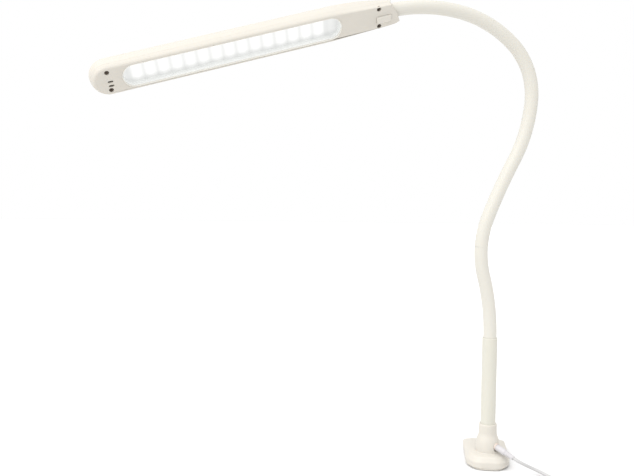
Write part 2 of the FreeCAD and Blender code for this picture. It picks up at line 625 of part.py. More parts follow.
def reflector_tray():
    grow = 2 * mm("tray_wall")
    tray_top = floor_top + mm("tray_height")
    ring = stadium(mm("window_length") + grow, mm("window_width") + grow, floor_top, tray_top)
    return ring.cut(stadium(mm("window_length"), mm("window_width"), floor_top - 1, tray_top + 1))


tray_top = floor_top + mm("tray_height")
diffuser_top = tray_top + mm("diffuser_thick")
board_bottom = crown - wall - mm("spreader_thick") - mm("board_thick")


def at_window(height):
    return HEAD.multiply(Placement(Vector(mm("window_centre"), 0, height), Rotation()))


upper_shell = head_upper_shell()
keep("head_upper_shell", upper_shell, HEAD)
keep("head_lower_shell", head_lower_shell(), HEAD)
keep("head_screws", head_screws(), HEAD)
keep("window_rim", window_rim(), HEAD)
keep("reflector_tray", reflector_tray(), HEAD)
pad_body("diffuser", draw_stadium("Sizes.window_length + 2 * Sizes.tray_wall",
                                  "Sizes.window_width + 2 * Sizes.tray_wall"),
         "Sizes.diffuser_thick", at_window(tray_top))
pad_body("led_board", draw_rectangle("Sizes.led_board_length", "Sizes.led_board_width"),
         "Sizes.board_thick", at_window(board_bottom))
pad_body("heat_spreader", draw_rectangle("Sizes.spreader_length", "Sizes.spreader_width"),
         "Sizes.spreader_thick", at_window(board_bottom + mm("board_thick")))
side, thick = mm("led_side"), mm("led_thick")
keep("leds", Part.makeCompound([
    Part.makeBox(side, side, thick, Vector((index - LED_COUNT // 2) * mm("led_pitch") - side / 2,
                                           -side / 2, -thick))
    for index in range(LED_COUNT)]), at_window(board_bottom))

driver_middle = mm("driver_from") + mm("driver_length") / 2
pad_body("driver_board", draw_rectangle("Sizes.driver_length", "Sizes.driver_width"), "Sizes.board_thick",
         HEAD.multiply(Placement(Vector(driver_middle, 0, mm("driver_height")), Rotation())))
board_top = mm("driver_height") + mm("board_thick")
keep("driver_parts", Part.makeCompound([
    rod(4.0, Vector(driver_middle + 4, -4.6, board_top), Vector(driver_middle + 4, -4.6, board_top + 4.6)),
    rod(2.6, Vector(driver_middle + 3, 5.4, board_top), Vector(driver_middle + 3, 5.4, board_top + 5.4)),
    block(Vector(driver_middle - 9, -3, board_top), Vector(driver_middle - 4, 1, board_top + 1.4))]), HEAD)

# ---- where the neck ends: stud, bush and nut, so that the head can roll on the neck --------------------
stud_foot = Vector(-mm("stud_flange"), 0, 0)
stud = rod(mm("neck_radius"), stud_foot, Vector(0, 0, 0))
stud = stud.fuse(rod(mm("stud_radius"), Vector(0, 0, 0), Vector(mm("stud_length"), 0, 0)))
stud = stud.cut(rod(mm("wire_radius") + mm("wire_room"), Vector(-3, 0, 0), Vector(20, 0, 0)))
stud_clear = rod(mm("neck_radius") + 1, stud_foot, Vector(5, 0, 0))
stud_clear.Placement = HEAD
last_skin = nodes["neck_skin_%d" % len(links)]
last_skin.Shape = last_skin.Shape.cut(stud_clear)
keep("neck_stud", stud, HEAD)
bush_end, bush_half = mm("bush_end"), mm("bush_half")
bush = block(Vector(wall + mm("free_gap"), -bush_half, -bush_half), Vector(bush_end, bush_half, crown - wall))
# The crown slopes through the block, so the piece under it is the bush.
bush = max(bush.cut(upper_shell).Solids, key=lambda solid: solid.Volume)
keep("neck_bush", bush.cut(rod(mm("stud_radius") + mm("slip_fit"), Vector(-5, 0, 0), Vector(20, 0, 0))), HEAD)
nut_foot = Vector(bush_end + 0.1, 0, 0)
nut = rod(mm("stud_radius") + mm("nut_wall"), nut_foot, nut_foot + X_AXIS * mm("nut_length"))
keep("neck_nut", nut.cut(rod(mm("stud_radius"), Vector(-5, 0, 0), Vector(20, 0, 0))), HEAD)

# ---- press switch ---------------------------------------------------------------------------------------
button_x, button_y = mm("button_centre"), mm("button_side")
half_long, half_wide = mm("button_length") / 2, mm("button_width") / 2
cap = block(Vector(button_x - half_long, button_y - half_wide, face - mm("button_proud")),
            Vector(button_x + half_long, button_y + half_wide, floor_top + 0.4))
cap = cap.makeFillet(mm("button_edge"), [edge for edge in cap.Edges
                           if abs(edge.BoundBox.ZMax - (face - mm("button_proud"))) < 1e-5])
flange_reach, flange_top = half_long + mm("flange_reach"), floor_top + 0.05 + mm("flange_thick")
flange = block(Vector(button_x - flange_reach, button_y - half_wide, floor_top + 0.05),
               Vector(button_x + flange_reach, button_y + half_wide, flange_top))
keep("switch_button", cap.fuse(flange).removeSplitter(), HEAD)
plunger_foot = Vector(mm("driver_from") - 6.8, button_y, flange_top)
plunger_head = Vector(plunger_foot.x, button_y, -3.6)
keep("switch_plunger", rod(mm("plunger_radius"), plunger_foot, plunger_head), HEAD)
key = block(plunger_foot + Vector(-2.2, -2.4, mm("button_travel") + mm("free_gap")),
            Vector(plunger_foot.x + 6.8, button_y + 2.4, mm("driver_height") + 0.4))
key = key.cut(rod(mm("plunger_radius") + 0.4, plunger_foot - Z_AXIS * 5, plunger_head + Z_AXIS * 1.4))
keep("switch_body", key, HEAD)

# ---- wires inside the head and the base -----------------------------------------------------------------
supply = swept(
    [Vector(mm("stud_length") + 0.4, 0, 0), Vector(15, 0.4, 1.6), Vector(20, -1.0, 2.6),
     Vector(23, -1.6, board_top + 1.6), Vector(23.4, -1.2, board_top)], mm("head_wire_radius"))[0]
keep("head_wires", supply, HEAD)
jack_inner = jack_mouth - jack_way * mm("jack_depth")
wire_foot = Vector(0, 0, mm("sleeve_foot") + 10)
base_wire = swept(
    [jack_inner, jack_inner - jack_way * 2.2, Vector(0.4, -0.4, mm("sleeve_foot") + 1), wire_foot,
     Vector(0, 0.3, mm("sleeve_foot") + 24), Vector(0, 0, mm("neck_start") - 1)],
    mm("base_wire_radius"))[0]
keep("base_wires", base_wire)

# ---- supply jack, plug and lead -----------------------------------------------------------------------
jack_front = jack_mouth - jack_way * mm("jack_recess")
plug_start, plug_end = jack_front + jack_way * 0.1, jack_mouth + jack_way * mm("plug_out")
jack = rod(mm("jack_radius") - mm("slip_fit"), jack_inner, jack_front)
barrel_hole = rod(mm("barrel_radius") + mm("slip_fit"), jack_front - jack_way * 7, jack_front + jack_way)
keep("jack_body", jack.cut(barrel_hole))
keep("plug_barrel", rod(mm("barrel_radius"), jack_front - jack_way * 6, plug_start))
plug = rod(mm("plug_radius"), plug_start, plug_end)
keep("plug_body", plug.makeFillet(0.6, [edge for edge in plug.Edges
                                        if edge.Closed and (edge.CenterOfMass - plug_end).Length < 0.1]))
relief_end = plug_end + jack_way * mm("relief_length")
relief = Part.makeCone(mm("relief_root"), mm("lead_radius") + mm("relief_end_wall"), mm("relief_length"),
                       plug_end, jack_way)
for groove in range(3):
    foot = plug_end + jack_way * (1.6 + mm("relief_pitch") * groove)
    rib_root = rod(2.15 - 0.15 * groove, foot - jack_way, foot + jack_way * 2)
    relief = relief.cut(rod(4.0, foot, foot + jack_way * mm("relief_groove")).cut(rib_root))
keep("strain_relief", relief)

coil_centre = Vector(80.0, -90.0, 0)
coil_out, coil_in = [mm("coil_mean") + side * mm("coil_half_width") for side in (1, -1)]
lead_low = mm("lead_radius")
# The lead's own route, chosen by hand: out of the plug, down over the base's edge to the bench, then on
# to the coil.
LEAD_ROUTE = [(relief_end.x, relief_end.y, relief_end.z), (29.6, -28.4, 14.4), (36.5, -29.0, 11.2),
              (43.5, -28.4, 7.9), (50.5, -29.6, 5.3), (57.0, -32.6, 3.2), (63.0, -37.6, lead_low),
              (68.6, -43.8, lead_low), (74.6, -50.6, lead_low), (81.0, -57.4, lead_low),
              (86.8, -65.4, lead_low)]
lead, lead_length, lead_radii = swept([Vector(*point) for point in LEAD_ROUTE], mm("lead_radius"))
keep("lead", lead)
coil_section = rounded_wire([(coil_out, 0), (coil_out, mm("coil_height")), (coil_in, mm("coil_height")),
                             (coil_in, 0)], [mm("coil_corner")] * 4, 0)
coil_section.rotate(Vector(0, 0, 0), X_AXIS, 90)
coil = Part.Face(coil_section).revolve(Vector(0, 0, 0), Z_AXIS, 360)
coil.translate(coil_centre)
keep("lead_coil", coil)
TAIL_ROUTE = [(71.0, -113.4, lead_low), (64.0, -114.6, 2.3), (56.5, -114.0, 3.3), (49.5, -114.4, 4.0)]
tail, tail_length, tail_radii = swept([Vector(*point) for point in TAIL_ROUTE], mm("lead_radius"))
keep("lead_tail", tail)

tie_half, tie_thick = mm("tie_width") / 2, mm("tie_thick")
tie = block(Vector(-tie_half, coil_in - 0.8 - tie_thick, 0),
            Vector(tie_half, coil_out + 0.3 + tie_thick, mm("coil_height") + 0.1 + tie_thick))
tie = tie.cut(block(Vector(-tie_half - 1, coil_in - 0.8, -1),
                    Vector(tie_half + 1, coil_out + 0.3, mm("coil_height") + 0.1)))
tie.rotate(Vector(0, 0, 0), Z_AXIS, -100)
tie.translate(coil_centre)
keep("coil_tie", tie)

usb_end = Vector(*TAIL_ROUTE[-1])
grip_end = usb_end - X_AXIS * 2
grip_front = grip_end - X_AXIS * mm("usb_body_length")


def usb_block(from_x, to_x, width, height):
    """A block centred on the plug's axis between two places along it."""
    return block(Vector(from_x, usb_end.y - width / 2, usb_end.z - height / 2),
                 Vector(to_x, usb_end.y + width / 2, usb_end.z + height / 2))


usb_body = usb_block(grip_front.x, grip_end.x, mm("usb_body_width"), mm("usb_body_height"))
usb_body = usb_body.makeFillet(mm("usb_body_edge"), usb_body.Edges)
usb_neck = Part.makeCone(mm("usb_neck_foot"), mm("usb_neck_root"), mm("usb_neck_length"),
                         grip_end - X_AXIS, X_AXIS)
usb_body = usb_body.fuse(usb_neck).cut(rod(mm("lead_radius"), usb_end, usb_end + X_AXIS * 5))
keep("usb_plug_body", usb_body)
shell_front, sheet_double = grip_front.x - mm("usb_shell_length"), 2 * mm("usb_sheet")
usb_shell = usb_block(shell_front, grip_front.x, mm("usb_shell_width"), mm("usb_shell_height"))
usb_shell = usb_shell.cut(usb_block(shell_front - 1, grip_front.x - 1, mm("usb_shell_width") - sheet_double,
                                    mm("usb_shell_height") - sheet_double))
tongue_half = mm("usb_shell_width") / 2 - 2 * mm("usb_sheet") + 0.2
usb_tongue = block(Vector(shell_front + 1.5, usb_end.y - tongue_half, usb_end.z),
                   Vector(grip_front.x - 1, usb_end.y + tongue_half, usb_end.z + mm("usb_tongue_thick")))
keep("usb_plug_shell", usb_shell)
keep("usb_plug_tongue", usb_tongue)

# ---- check every sub-part, then write the files ----------------------------------------------------------
doc.recompute()
faults = [item.Label for item in doc.Objects if "Invalid" in item.State or "Error" in item.State]
faults += [name for name, item in nodes.items() if item.Shape.isNull() or not item.Shape.isValid()]
if faults:
    raise RuntimeError("sub-parts that failed: " + ", ".join(faults))
os.makedirs("parts", exist_ok=True)
for name, item in nodes.items():
    item.Shape.exportStep("parts/%s.step" % name)

print("sub-parts:", len(nodes))
for name, length, radii, solid in (("lead", lead_length, lead_radii, lead),
                                   ("tail", tail_length, tail_radii, tail)):
    expected = math.pi * mm("lead_radius") ** 2 * length
    print(name, "length %.1f" % length, "radii", [round(radius, 1) for radius in radii],
          "volume %.0f of %.0f" % (solid.Volume, expected))
print("neck end", neck_end, "head droop", head_droop)
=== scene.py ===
import json
import math

import bmesh
import bpy
from mathutils import Matrix, Vector


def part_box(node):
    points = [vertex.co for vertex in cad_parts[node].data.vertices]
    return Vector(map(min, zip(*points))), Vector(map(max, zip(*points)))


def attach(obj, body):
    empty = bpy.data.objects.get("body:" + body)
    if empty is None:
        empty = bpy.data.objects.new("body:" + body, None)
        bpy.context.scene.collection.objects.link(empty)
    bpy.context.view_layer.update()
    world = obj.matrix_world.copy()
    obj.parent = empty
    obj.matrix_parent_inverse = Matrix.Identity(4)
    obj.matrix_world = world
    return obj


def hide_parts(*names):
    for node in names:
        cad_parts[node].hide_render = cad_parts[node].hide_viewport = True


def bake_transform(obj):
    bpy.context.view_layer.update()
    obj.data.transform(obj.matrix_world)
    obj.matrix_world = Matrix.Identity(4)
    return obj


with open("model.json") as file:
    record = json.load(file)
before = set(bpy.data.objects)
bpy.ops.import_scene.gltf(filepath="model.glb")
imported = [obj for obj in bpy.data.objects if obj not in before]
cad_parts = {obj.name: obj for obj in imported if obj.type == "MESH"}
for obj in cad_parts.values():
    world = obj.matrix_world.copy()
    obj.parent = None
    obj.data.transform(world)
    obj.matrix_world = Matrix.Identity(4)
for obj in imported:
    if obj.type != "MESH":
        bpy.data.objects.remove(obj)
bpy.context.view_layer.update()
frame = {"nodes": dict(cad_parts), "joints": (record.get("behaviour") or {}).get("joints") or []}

# ---- Studio ---------------------------------------------------------------------------------------
# The lamp stands on a plain white sweep in soft daylight. The eye is a little below the lamp head and
# looks slightly down, so the lit window is seen from underneath.
lens = bpy.data.cameras.new("studio_camera")
lens.sensor_width = 36.0
lens.lens = 45.43
camera = bpy.data.objects.new("studio_camera", lens)
camera.location = (-0.0819, -0.8638, 0.3374)
camera.rotation_euler = (math.radians(84.0), 0.0, math.radians(7.0))
bpy.context.scene.collection.objects.link(camera)
bpy.context.scene.camera = camera

sky = bpy.data.worlds.new("white_room")
sky.use_nodes = True
sky.node_tree.nodes["Background"].inputs["Color"].default_value = (1.0, 1.0, 1.0, 1.0)
sky.node_tree.nodes["Background"].inputs["Strength"].default_value = 1.0
bpy.context.scene.world = sky
bpy.context.scene.view_settings.view_transform = "Standard"


def soft_light(name, place, aim, size, power, colour):
    """A square soft box at a place, turned to face the point it lights."""
    lamp = bpy.data.lights.new(name, "AREA")
    lamp.size = size
    lamp.energy = power
    lamp.color = colour
    holder = bpy.data.objects.new(name, lamp)
    holder.location = place
    holder.rotation_euler = (Vector(aim) - Vector(place)).to_track_quat("-Z", "Y").to_euler()
    bpy.context.scene.collection.objects.link(holder)


daylight = bpy.data.lights.new("high_window", "SUN")
daylight.energy = 2.2
daylight.angle = math.radians(75.0)
window_light = bpy.data.objects.new("high_window", daylight)
window_light.rotation_euler = (math.radians(26.0), math.radians(-20.0), 0.0)
bpy.context.scene.collection.objects.link(window_light)
soft_light("left_softbox", (-0.9, -0.9, 0.9), (0.0, 0.0, 0.25), 0.6, 1.0, (1.0, 0.99, 0.97))


class Wire:
    """A shader socket that takes part in Python maths; each operation adds its Math node."""

    def __init__(self, tree, socket):
        self.tree = tree
        self.socket = socket

    def maths(self, operation, first, second):
        node = self.tree.nodes.new("ShaderNodeMath")
        node.operation = operation
        for slot, value in zip(node.inputs, (first, second)):
            if isinstance(value, Wire):
                self.tree.links.new(value.socket, slot)
            else:
                slot.default_value = value
        return Wire(self.tree, node.outputs[0])

    def __add__(self, other):
        return self.maths("ADD", self, other)

    def __radd__(self, other):
        return self.maths("ADD", other, self)

    def __sub__(self, other):
        return self.maths("SUBTRACT", self, other)

    def __rsub__(self, other):
        return self.maths("SUBTRACT", other, self)

    def __mul__(self, other):
        return self.maths("MULTIPLY", self, other)

    def __rmul__(self, other):
        return self.maths("MULTIPLY", other, self)


class Finish:
    """A material being built: add() makes any node, put() feeds one of the surface shader's sockets."""

    def __init__(self, name):
        self.material = bpy.data.materials.new(name)
        self.material.use_nodes = True
        self.tree = self.material.node_tree
        self.shader = self.tree.nodes["Principled BSDF"]

    def add(self, kind, settings=None, values=None, out=0):
        node = self.tree.nodes.new("ShaderNode" + kind)
        for key, value in (settings or {}).items():
            if key == "stops":
                ramp = node.color_ramp
                for index, (place, shade) in enumerate(value):
                    stop = ramp.elements[index] if index < 2 else ramp.elements.new(place)
                    stop.position = place
                    stop.color = shade
            else:
                setattr(node, key, value)
        for key, value in (values or {}).items():
            if isinstance(value, Wire):
                self.tree.links.new(value.socket, node.inputs[key])
            else:
                node.inputs[key].default_value = value
        return Wire(self.tree, node.outputs[out])

    def put(self, **sockets):
        for key, value in sockets.items():
            slot = self.shader.inputs[key.replace("_", " ")]
            if isinstance(value, Wire):
                self.tree.links.new(value.socket, slot)
            else:
                slot.default_value = value

    def place(self):
        return self.add("TexCoord", out=3)

    def noise(self, scale, detail=3.0, roughness=0.5):
        return self.add("TexNoise", {}, {"Vector": self.place(), "Scale": scale, "Detail": detail,
                                         "Roughness": roughness})

    def tint(self, mask, dark, light):
        """A colour that goes from dark to light with a mask."""
        return self.add("Mix", {"data_type": "RGBA"}, {0: mask, 6: (*dark, 1.0), 7: (*light, 1.0)}, out=2)

    def bump(self, height, distance, strength=1.0):
        return self.add("Bump", {}, {"Height": height, "Distance": distance, "Strength": strength})


def object_from(name, mesh_data, finish, sharp=35.0):
    """A finished piece from a bmesh: smooth but for its corners, with its material."""
    data = bpy.data.meshes.new(name)
    mesh_data.to_mesh(data)
    mesh_data.free()
    data.shade_smooth()
    data.set_sharp_from_angle(angle=math.radians(sharp))
    data.materials.append(finish.material)
    piece = bpy.data.objects.new(name, data)
    bpy.context.scene.collection.objects.link(piece)
    return piece


def paper_finish():
    finish = Finish("studio_white")
    tooth = finish.noise(60.0)
    finish.put(Base_Color=finish.tint(tooth, (0.76, 0.76, 0.76), (0.80, 0.80, 0.80)), Roughness=0.9)
    finish.put(Normal=finish.bump(tooth, 0.0002, 0.2))
    return finish


floor_mesh = bmesh.new()
bmesh.ops.create_grid(floor_mesh, x_segments=8, y_segments=8, size=3.0)
floor_finish = paper_finish()
floor = object_from("studio_floor", floor_mesh, floor_finish)

# ---- Supply lead ----------------------------------------------------------------------------------
# A thin round two-core lead in cool white PVC. It leaves the plug's strain relief, drops over the
# base's edge to the bench and is put away in a tied coil that ends in a flat power plug.
MM = 0.001
LEAD_RADIUS = 1.75 * MM


def vinyl_finish(name, shade):
    """Smooth cool-white PVC with a slight orange peel and faint handling marks."""
    finish = Finish(name)
    mottle = finish.noise(90.0, 4.0)
    peel = finish.noise(2600.0, 2.0)
    light = tuple(channel * 1.03 for channel in shade)
    finish.put(Base_Color=finish.tint(mottle, shade, light), Roughness=mottle * 0.12 + 0.36,
               Normal=finish.bump(peel, 0.00004, 0.5))
    finish.shader.inputs["Subsurface Weight"].default_value = 0.08
    finish.shader.inputs["Subsurface Radius"].default_value = (0.002, 0.002, 0.002)
    return finish


lead_finish = vinyl_finish("lead_pvc", (0.47, 0.465, 0.46))
jack_heading = math.radians(-45.0)
jack_dip = math.radians(14.0)
jack_way = Vector((math.cos(jack_heading) * math.cos(jack_dip), math.sin(jack_heading) * math.cos(jack_dip),
                   -math.sin(jack_dip)))
jack_mouth = Vector((12.2 * math.cos(jack_heading), 12.2 * math.sin(jack_heading), 22.0)) * MM
plug_length = 13.0 * MM
relief_length = 11.0 * MM
relief_end = jack_mouth + jack_way * (plug_length + relief_length)

LEAD_ROUTE = [(29.6, -28.4, 14.4), (36.5, -29.0, 11.2), (43.5, -28.4, 7.9), (50.5, -29.6, 5.3),
              (57.0, -32.6, 3.2), (63.0, -37.6, 1.75), (68.6, -43.8, 1.75), (74.6, -50.6, 1.75),
              (81.0, -57.4, 1.75), (86.8, -65.4, 1.75)]
TAIL_ROUTE = [(71.0, -113.4, 3.4), (64.0, -114.6, 2.6), (56.5, -114.0, 3.3), (49.5, -114.4, 4.0)]
coil_middle = Vector((80.0, -90.0, 0.0))
# Each turn of the coil: its radius and its height, in the order that the lead was wound.
COIL_TURNS = [(22.9, 1.75), (19.25, 1.75), (15.6, 1.75), (15.6, 5.35), (19.25, 5.35), (19.25, 8.95),
              (22.9, 8.95), (22.9, 5.35)]
POINTS_PER_TURN = 16
FIRST_TURN_SHARE = 0.375
# A turn keeps its own radius and height up to here, then eases over to the next turn's.
CHANGE_FROM = 0.75


def coil_points():
    """Control points of the wound turns, clockwise from where the lead comes in."""
    start = math.radians(45.0)
    points = []
    total = int(POINTS_PER_TURN * (FIRST_TURN_SHARE + len(COIL_TURNS) - 1))
    for count in range(total + 1):
        turns = count / POINTS_PER_TURN
        place = turns - FIRST_TURN_SHARE + 1.0
        slot = min(int(place), len(COIL_TURNS) - 1)
        share = place - slot
        radius, height = COIL_TURNS[slot]
        if slot + 1 < len(COIL_TURNS) and share > CHANGE_FROM:
            blend = (share - CHANGE_FROM) / (1.0 - CHANGE_FROM)
            blend = blend * blend * (3 - 2 * blend)
            radius += (COIL_TURNS[slot + 1][0] - radius) * blend
            height += (COIL_TURNS[slot + 1][1] - height) * blend
        angle = start - turns * 2 * math.pi
        points.append(coil_middle + Vector((radius * math.cos(angle), radius * math.sin(angle), height)))
    return points


def cord_curve(name, points, radius, finish):
    """A round cord on one smooth line through its control points, in metres."""
    curve = bpy.data.curves.new(name, "CURVE")
    curve.dimensions = "3D"
    curve.bevel_depth = radius
    curve.bevel_resolution = 5
    curve.resolution_u = 6
    curve.use_fill_caps = True
    spline = curve.splines.new("NURBS")
    spline.points.add(len(points) - 1)
    for point, place in zip(spline.points, points):
        point.co = (*place, 1.0)
    spline.order_u = 3
    spline.use_endpoint_u = True
    curve.materials.append(finish.material)
    piece = bpy.data.objects.new(name, curve)
    bpy.context.scene.collection.objects.link(piece)
    return piece


lead_points = [relief_end] + [Vector(point) * MM for point in LEAD_ROUTE]
lead_points += [point * MM for point in coil_points()]
lead_points += [Vector(point) * MM for point in TAIL_ROUTE]
lead = cord_curve("supply_lead", lead_points, LEAD_RADIUS, lead_finish)
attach(lead, "base")
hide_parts("lead", "lead_coil", "lead_tail")

# ---- Plug and strain relief -----------------------------------------------------------------------
# A slim moulded DC plug pushed into the post's flare. Its strain relief is a soft ribbed taper, and
# both are one over-moulding of the same PVC as the lead.


def lathe(name, profile, foot, way, finish, steps=48, sharp=35.0):
    """A turned piece: profile is (distance along the way, radius) from end to end, in metres."""
    turned = bmesh.new()
    turn = Vector((0, 0, 1)).rotation_difference(way)
    rings = []
    for along, radius in profile:
        ring = []
        for step in range(steps):
            angle = 2 * math.pi * step / steps
            spot = Vector((radius * math.cos(angle), radius * math.sin(angle), along))
            ring.append(turned.verts.new(foot + turn @ spot))
        rings.append(ring)
    for low, high in zip(rings, rings[1:]):
        for step in range(steps):
            after = (step + 1) % steps
            turned.faces.new((low[step], low[after], high[after], high[step]))
    if profile[0] != profile[-1]:
        turned.faces.new(list(reversed(rings[0])))
        turned.faces.new(rings[-1])
    bmesh.ops.remove_doubles(turned, verts=turned.verts, dist=1e-7)
    bmesh.ops.recalc_face_normals(turned, faces=turned.faces)
    return object_from(name, turned, finish, sharp)


PLUG_RADIUS = 3.5 * MM
PLUG_ROUND = 1.4 * MM
PLUG_DROP = 0.8 * MM
plug_profile = [(-2.5 * MM, PLUG_RADIUS * 0.9), (-2.3 * MM, PLUG_RADIUS)]
plug_profile.append((plug_length - PLUG_ROUND, PLUG_RADIUS))
for angle in (20, 40, 60, 80, 90):
    plug_profile.append((plug_length - PLUG_ROUND + PLUG_ROUND * math.sin(math.radians(angle)),
                         PLUG_RADIUS - PLUG_DROP * (1 - math.cos(math.radians(angle)))))
plug_finish = vinyl_finish("plug_pvc", (0.52, 0.505, 0.515))
plug = lathe("dc_plug", plug_profile, jack_mouth, jack_way, plug_finish)
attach(plug, "base")
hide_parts("plug_body")

RIBS = 5
relief_foot = 3.1 * MM
relief_tip = 2.3 * MM
rib_depth = 0.55 * MM
relief_profile = []
for step in range(RIBS * 8 + 1):
    share = step / (RIBS * 8)
    ripple = 0.5 - 0.5 * math.cos(2 * math.pi * share * RIBS)
    relief_profile.append((share * relief_length, relief_foot + (relief_tip - relief_foot) * share
                           - rib_depth * ripple * (1 - 0.4 * share)))
relief = lathe("strain_relief_ribs", relief_profile, jack_mouth + jack_way * plug_length, jack_way,
               plug_finish, sharp=80.0)
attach(relief, "base")
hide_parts("strain_relief")


# ---- Flat power plug and coil tie -----------------------------------------------------------------
# The lead ends in a flat power plug: a soft overmould with grip ridges on a folded steel shell. A
# hook-and-loop strap holds the coil.


def metal_finish(name, shade, roughness, grain=900.0):
    """Plated or turned metal with fine uneven polish and light scuffs."""
    finish = Finish(name)
    scuff = finish.noise(grain, 5.0, 0.6)
    dark = tuple(channel * 0.9 for channel in shade)
    finish.put(Base_Color=finish.tint(scuff, dark, shade), Metallic=1.0, Roughness=scuff * 0.2 + roughness,
               Normal=finish.bump(scuff, 0.00002, 0.4))
    return finish


def moulded_finish(name, shade, roughness=0.5):
    """A plain moulded part with a fine spark-eroded grain."""
    finish = Finish(name)
    grain = finish.noise(1800.0, 2.0)
    cloud = finish.noise(70.0, 3.0)
    light = tuple(min(channel * 1.08 + 0.004, 1.0) for channel in shade)
    finish.put(Base_Color=finish.tint(cloud, shade, light), Roughness=grain * 0.15 + roughness,
               Normal=finish.bump(grain, 0.00005, 0.5))
    return finish


def dress(node, finish):
    """Gives a carried-over CAD node its finished material."""
    piece = frame["nodes"][node]
    piece.data.materials.clear()
    piece.data.materials.append(finish.material)
    return piece


nickel = metal_finish("plug_nickel", (0.72, 0.71, 0.69), 0.2)
dress("usb_plug_shell", nickel)
dress("plug_barrel", nickel)
dress("usb_plug_tongue", moulded_finish("tongue_white", (0.86, 0.86, 0.86)))


def weave_finish():
    """Woven hook-and-loop strap."""
    finish = Finish("tie_weave")
    threads = finish.add("TexWave", {"bands_direction": "Z"}, {"Vector": finish.place(), "Scale": 900.0,
                                                               "Distortion": 1.5})
    finish.put(Base_Color=finish.tint(threads, (0.17, 0.17, 0.18), (0.3, 0.3, 0.32)), Roughness=0.85,
               Normal=finish.bump(threads, 0.0002, 0.6))
    return finish


dress("coil_tie", weave_finish())

usb_low, usb_high = [Vector(corner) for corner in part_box("usb_plug_body")]
usb_middle = (usb_low + usb_high) / 2
USB_LENGTH = 24.0 * MM
USB_HALF_WIDE = 7.5 * MM
USB_HALF_TALL = 3.95 * MM
USB_TAPER_FROM = 0.55
GRIP_FROM, GRIP_TO = 0.35, 0.85
GRIP_RIDGES = 7
GRIP_DEPTH = 0.35 * MM
GRIP_RINGS = 32
GRIP_SIDES = 32
grip = bmesh.new()
grip_rings = []
for count in range(GRIP_RINGS + 1):
    share = count / GRIP_RINGS
    across = USB_HALF_WIDE * (1 - 0.22 * max(0.0, share - USB_TAPER_FROM))
    if GRIP_FROM < share < GRIP_TO:
        place = (share - GRIP_FROM) / (GRIP_TO - GRIP_FROM)
        across -= GRIP_DEPTH * (0.5 - 0.5 * math.cos(place * GRIP_RIDGES * 2 * math.pi))
    ring = []
    for step in range(GRIP_SIDES):
        angle = 2 * math.pi * step / GRIP_SIDES
        side = math.copysign(abs(math.cos(angle)) ** 0.45, math.cos(angle)) * across
        rise = math.copysign(abs(math.sin(angle)) ** 0.5, math.sin(angle)) * USB_HALF_TALL
        ring.append(grip.verts.new((usb_low.x + share * USB_LENGTH, usb_middle.y + side, usb_middle.z + rise)))
    grip_rings.append(ring)
for before, ring in zip(grip_rings, grip_rings[1:]):
    for step in range(GRIP_SIDES):
        after = (step + 1) % GRIP_SIDES
        grip.faces.new((before[step], before[after], ring[after], ring[step]))
grip.faces.new(list(reversed(grip_rings[0])))
grip.faces.new(grip_rings[-1])
bmesh.ops.recalc_face_normals(grip, faces=grip.faces)
usb_body = object_from("power_plug_grip", grip, plug_finish, 50.0)
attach(usb_body, "base")
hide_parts("usb_plug_body")


# ---- Base shell -----------------------------------------------------------------------------------
# A cream ABS moulding: an upright wall, a sloping shoulder, a soft pillow and the flared post that
# grips the sleeve tube. It is one shot from a satin tool, rounded over at the rim on top of the post.


def ivory_finish(name, shade, roughness=0.36, grain_depth=0.00003):
    """Cream ABS: faint tone changes, a spark-eroded satin grain and slight sheen from handling."""
    finish = Finish(name)
    cloud = finish.noise(26.0, 4.0)
    grain = finish.noise(2400.0, 2.0)
    smear = finish.noise(140.0, 5.0, 0.6)
    light = tuple(min(channel * 1.025, 1.0) for channel in shade)
    finish.put(Base_Color=finish.tint(cloud, shade, light), Roughness=smear * 0.14 + roughness,
               Normal=finish.bump(grain, grain_depth, 0.6))
    finish.shader.inputs["Specular IOR Level"].default_value = 0.35
    finish.shader.inputs["Subsurface Weight"].default_value = 0.05
    finish.shader.inputs["Subsurface Radius"].default_value = (0.004, 0.003, 0.002)
    return finish


IVORY = (0.57, 0.54, 0.485)
ivory = ivory_finish("ivory_abs", IVORY)
base_low, base_high = [Vector(corner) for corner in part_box("base_shell")]
POST_RADIUS = 9.6 * MM
POST_TOP = base_high.z
FLARE_RADIUS = 13.5 * MM
WALL_TOP = 8.6 * MM
PILLOW_TOP = 15.2 * MM
BASE_WALL = 2.0 * MM
POST_HOLLOW = 12.0 * MM


def rounded_outline(corners, radii, steps):
    """Points round a flat shape whose corners are rounded, evenly spaced along its edge."""
    corners = [Vector((x, y)) for x, y in corners]
    line = []
    for index, corner in enumerate(corners):
        back = (corners[index - 1] - corner).normalized()
        ahead = (corners[(index + 1) % len(corners)] - corner).normalized()
        half = back.angle(ahead) / 2
        reach = radii[index] / math.tan(half)
        middle = corner + (back + ahead).normalized() * (radii[index] / math.sin(half))
        start, end = corner + back * reach - middle, corner + ahead * reach - middle
        sweep = start.angle_signed(end)
        for step in range(13):
            angle = -sweep * step / 12
            turned = Matrix.Rotation(angle, 2) @ start
            line.append(middle + turned)
    lengths = [(after - here).length for here, after in zip(line, line[1:] + line[:1])]
    total, points, index, passed = sum(lengths), [], 0, 0.0
    for step in range(steps):
        target = total * step / steps
        while passed + lengths[index] < target:
            passed += lengths[index]
            index += 1
        share = (target - passed) / lengths[index] if lengths[index] > 1e-9 else 0.0
        points.append(line[index].lerp(line[(index + 1) % len(line)], share))
    return points


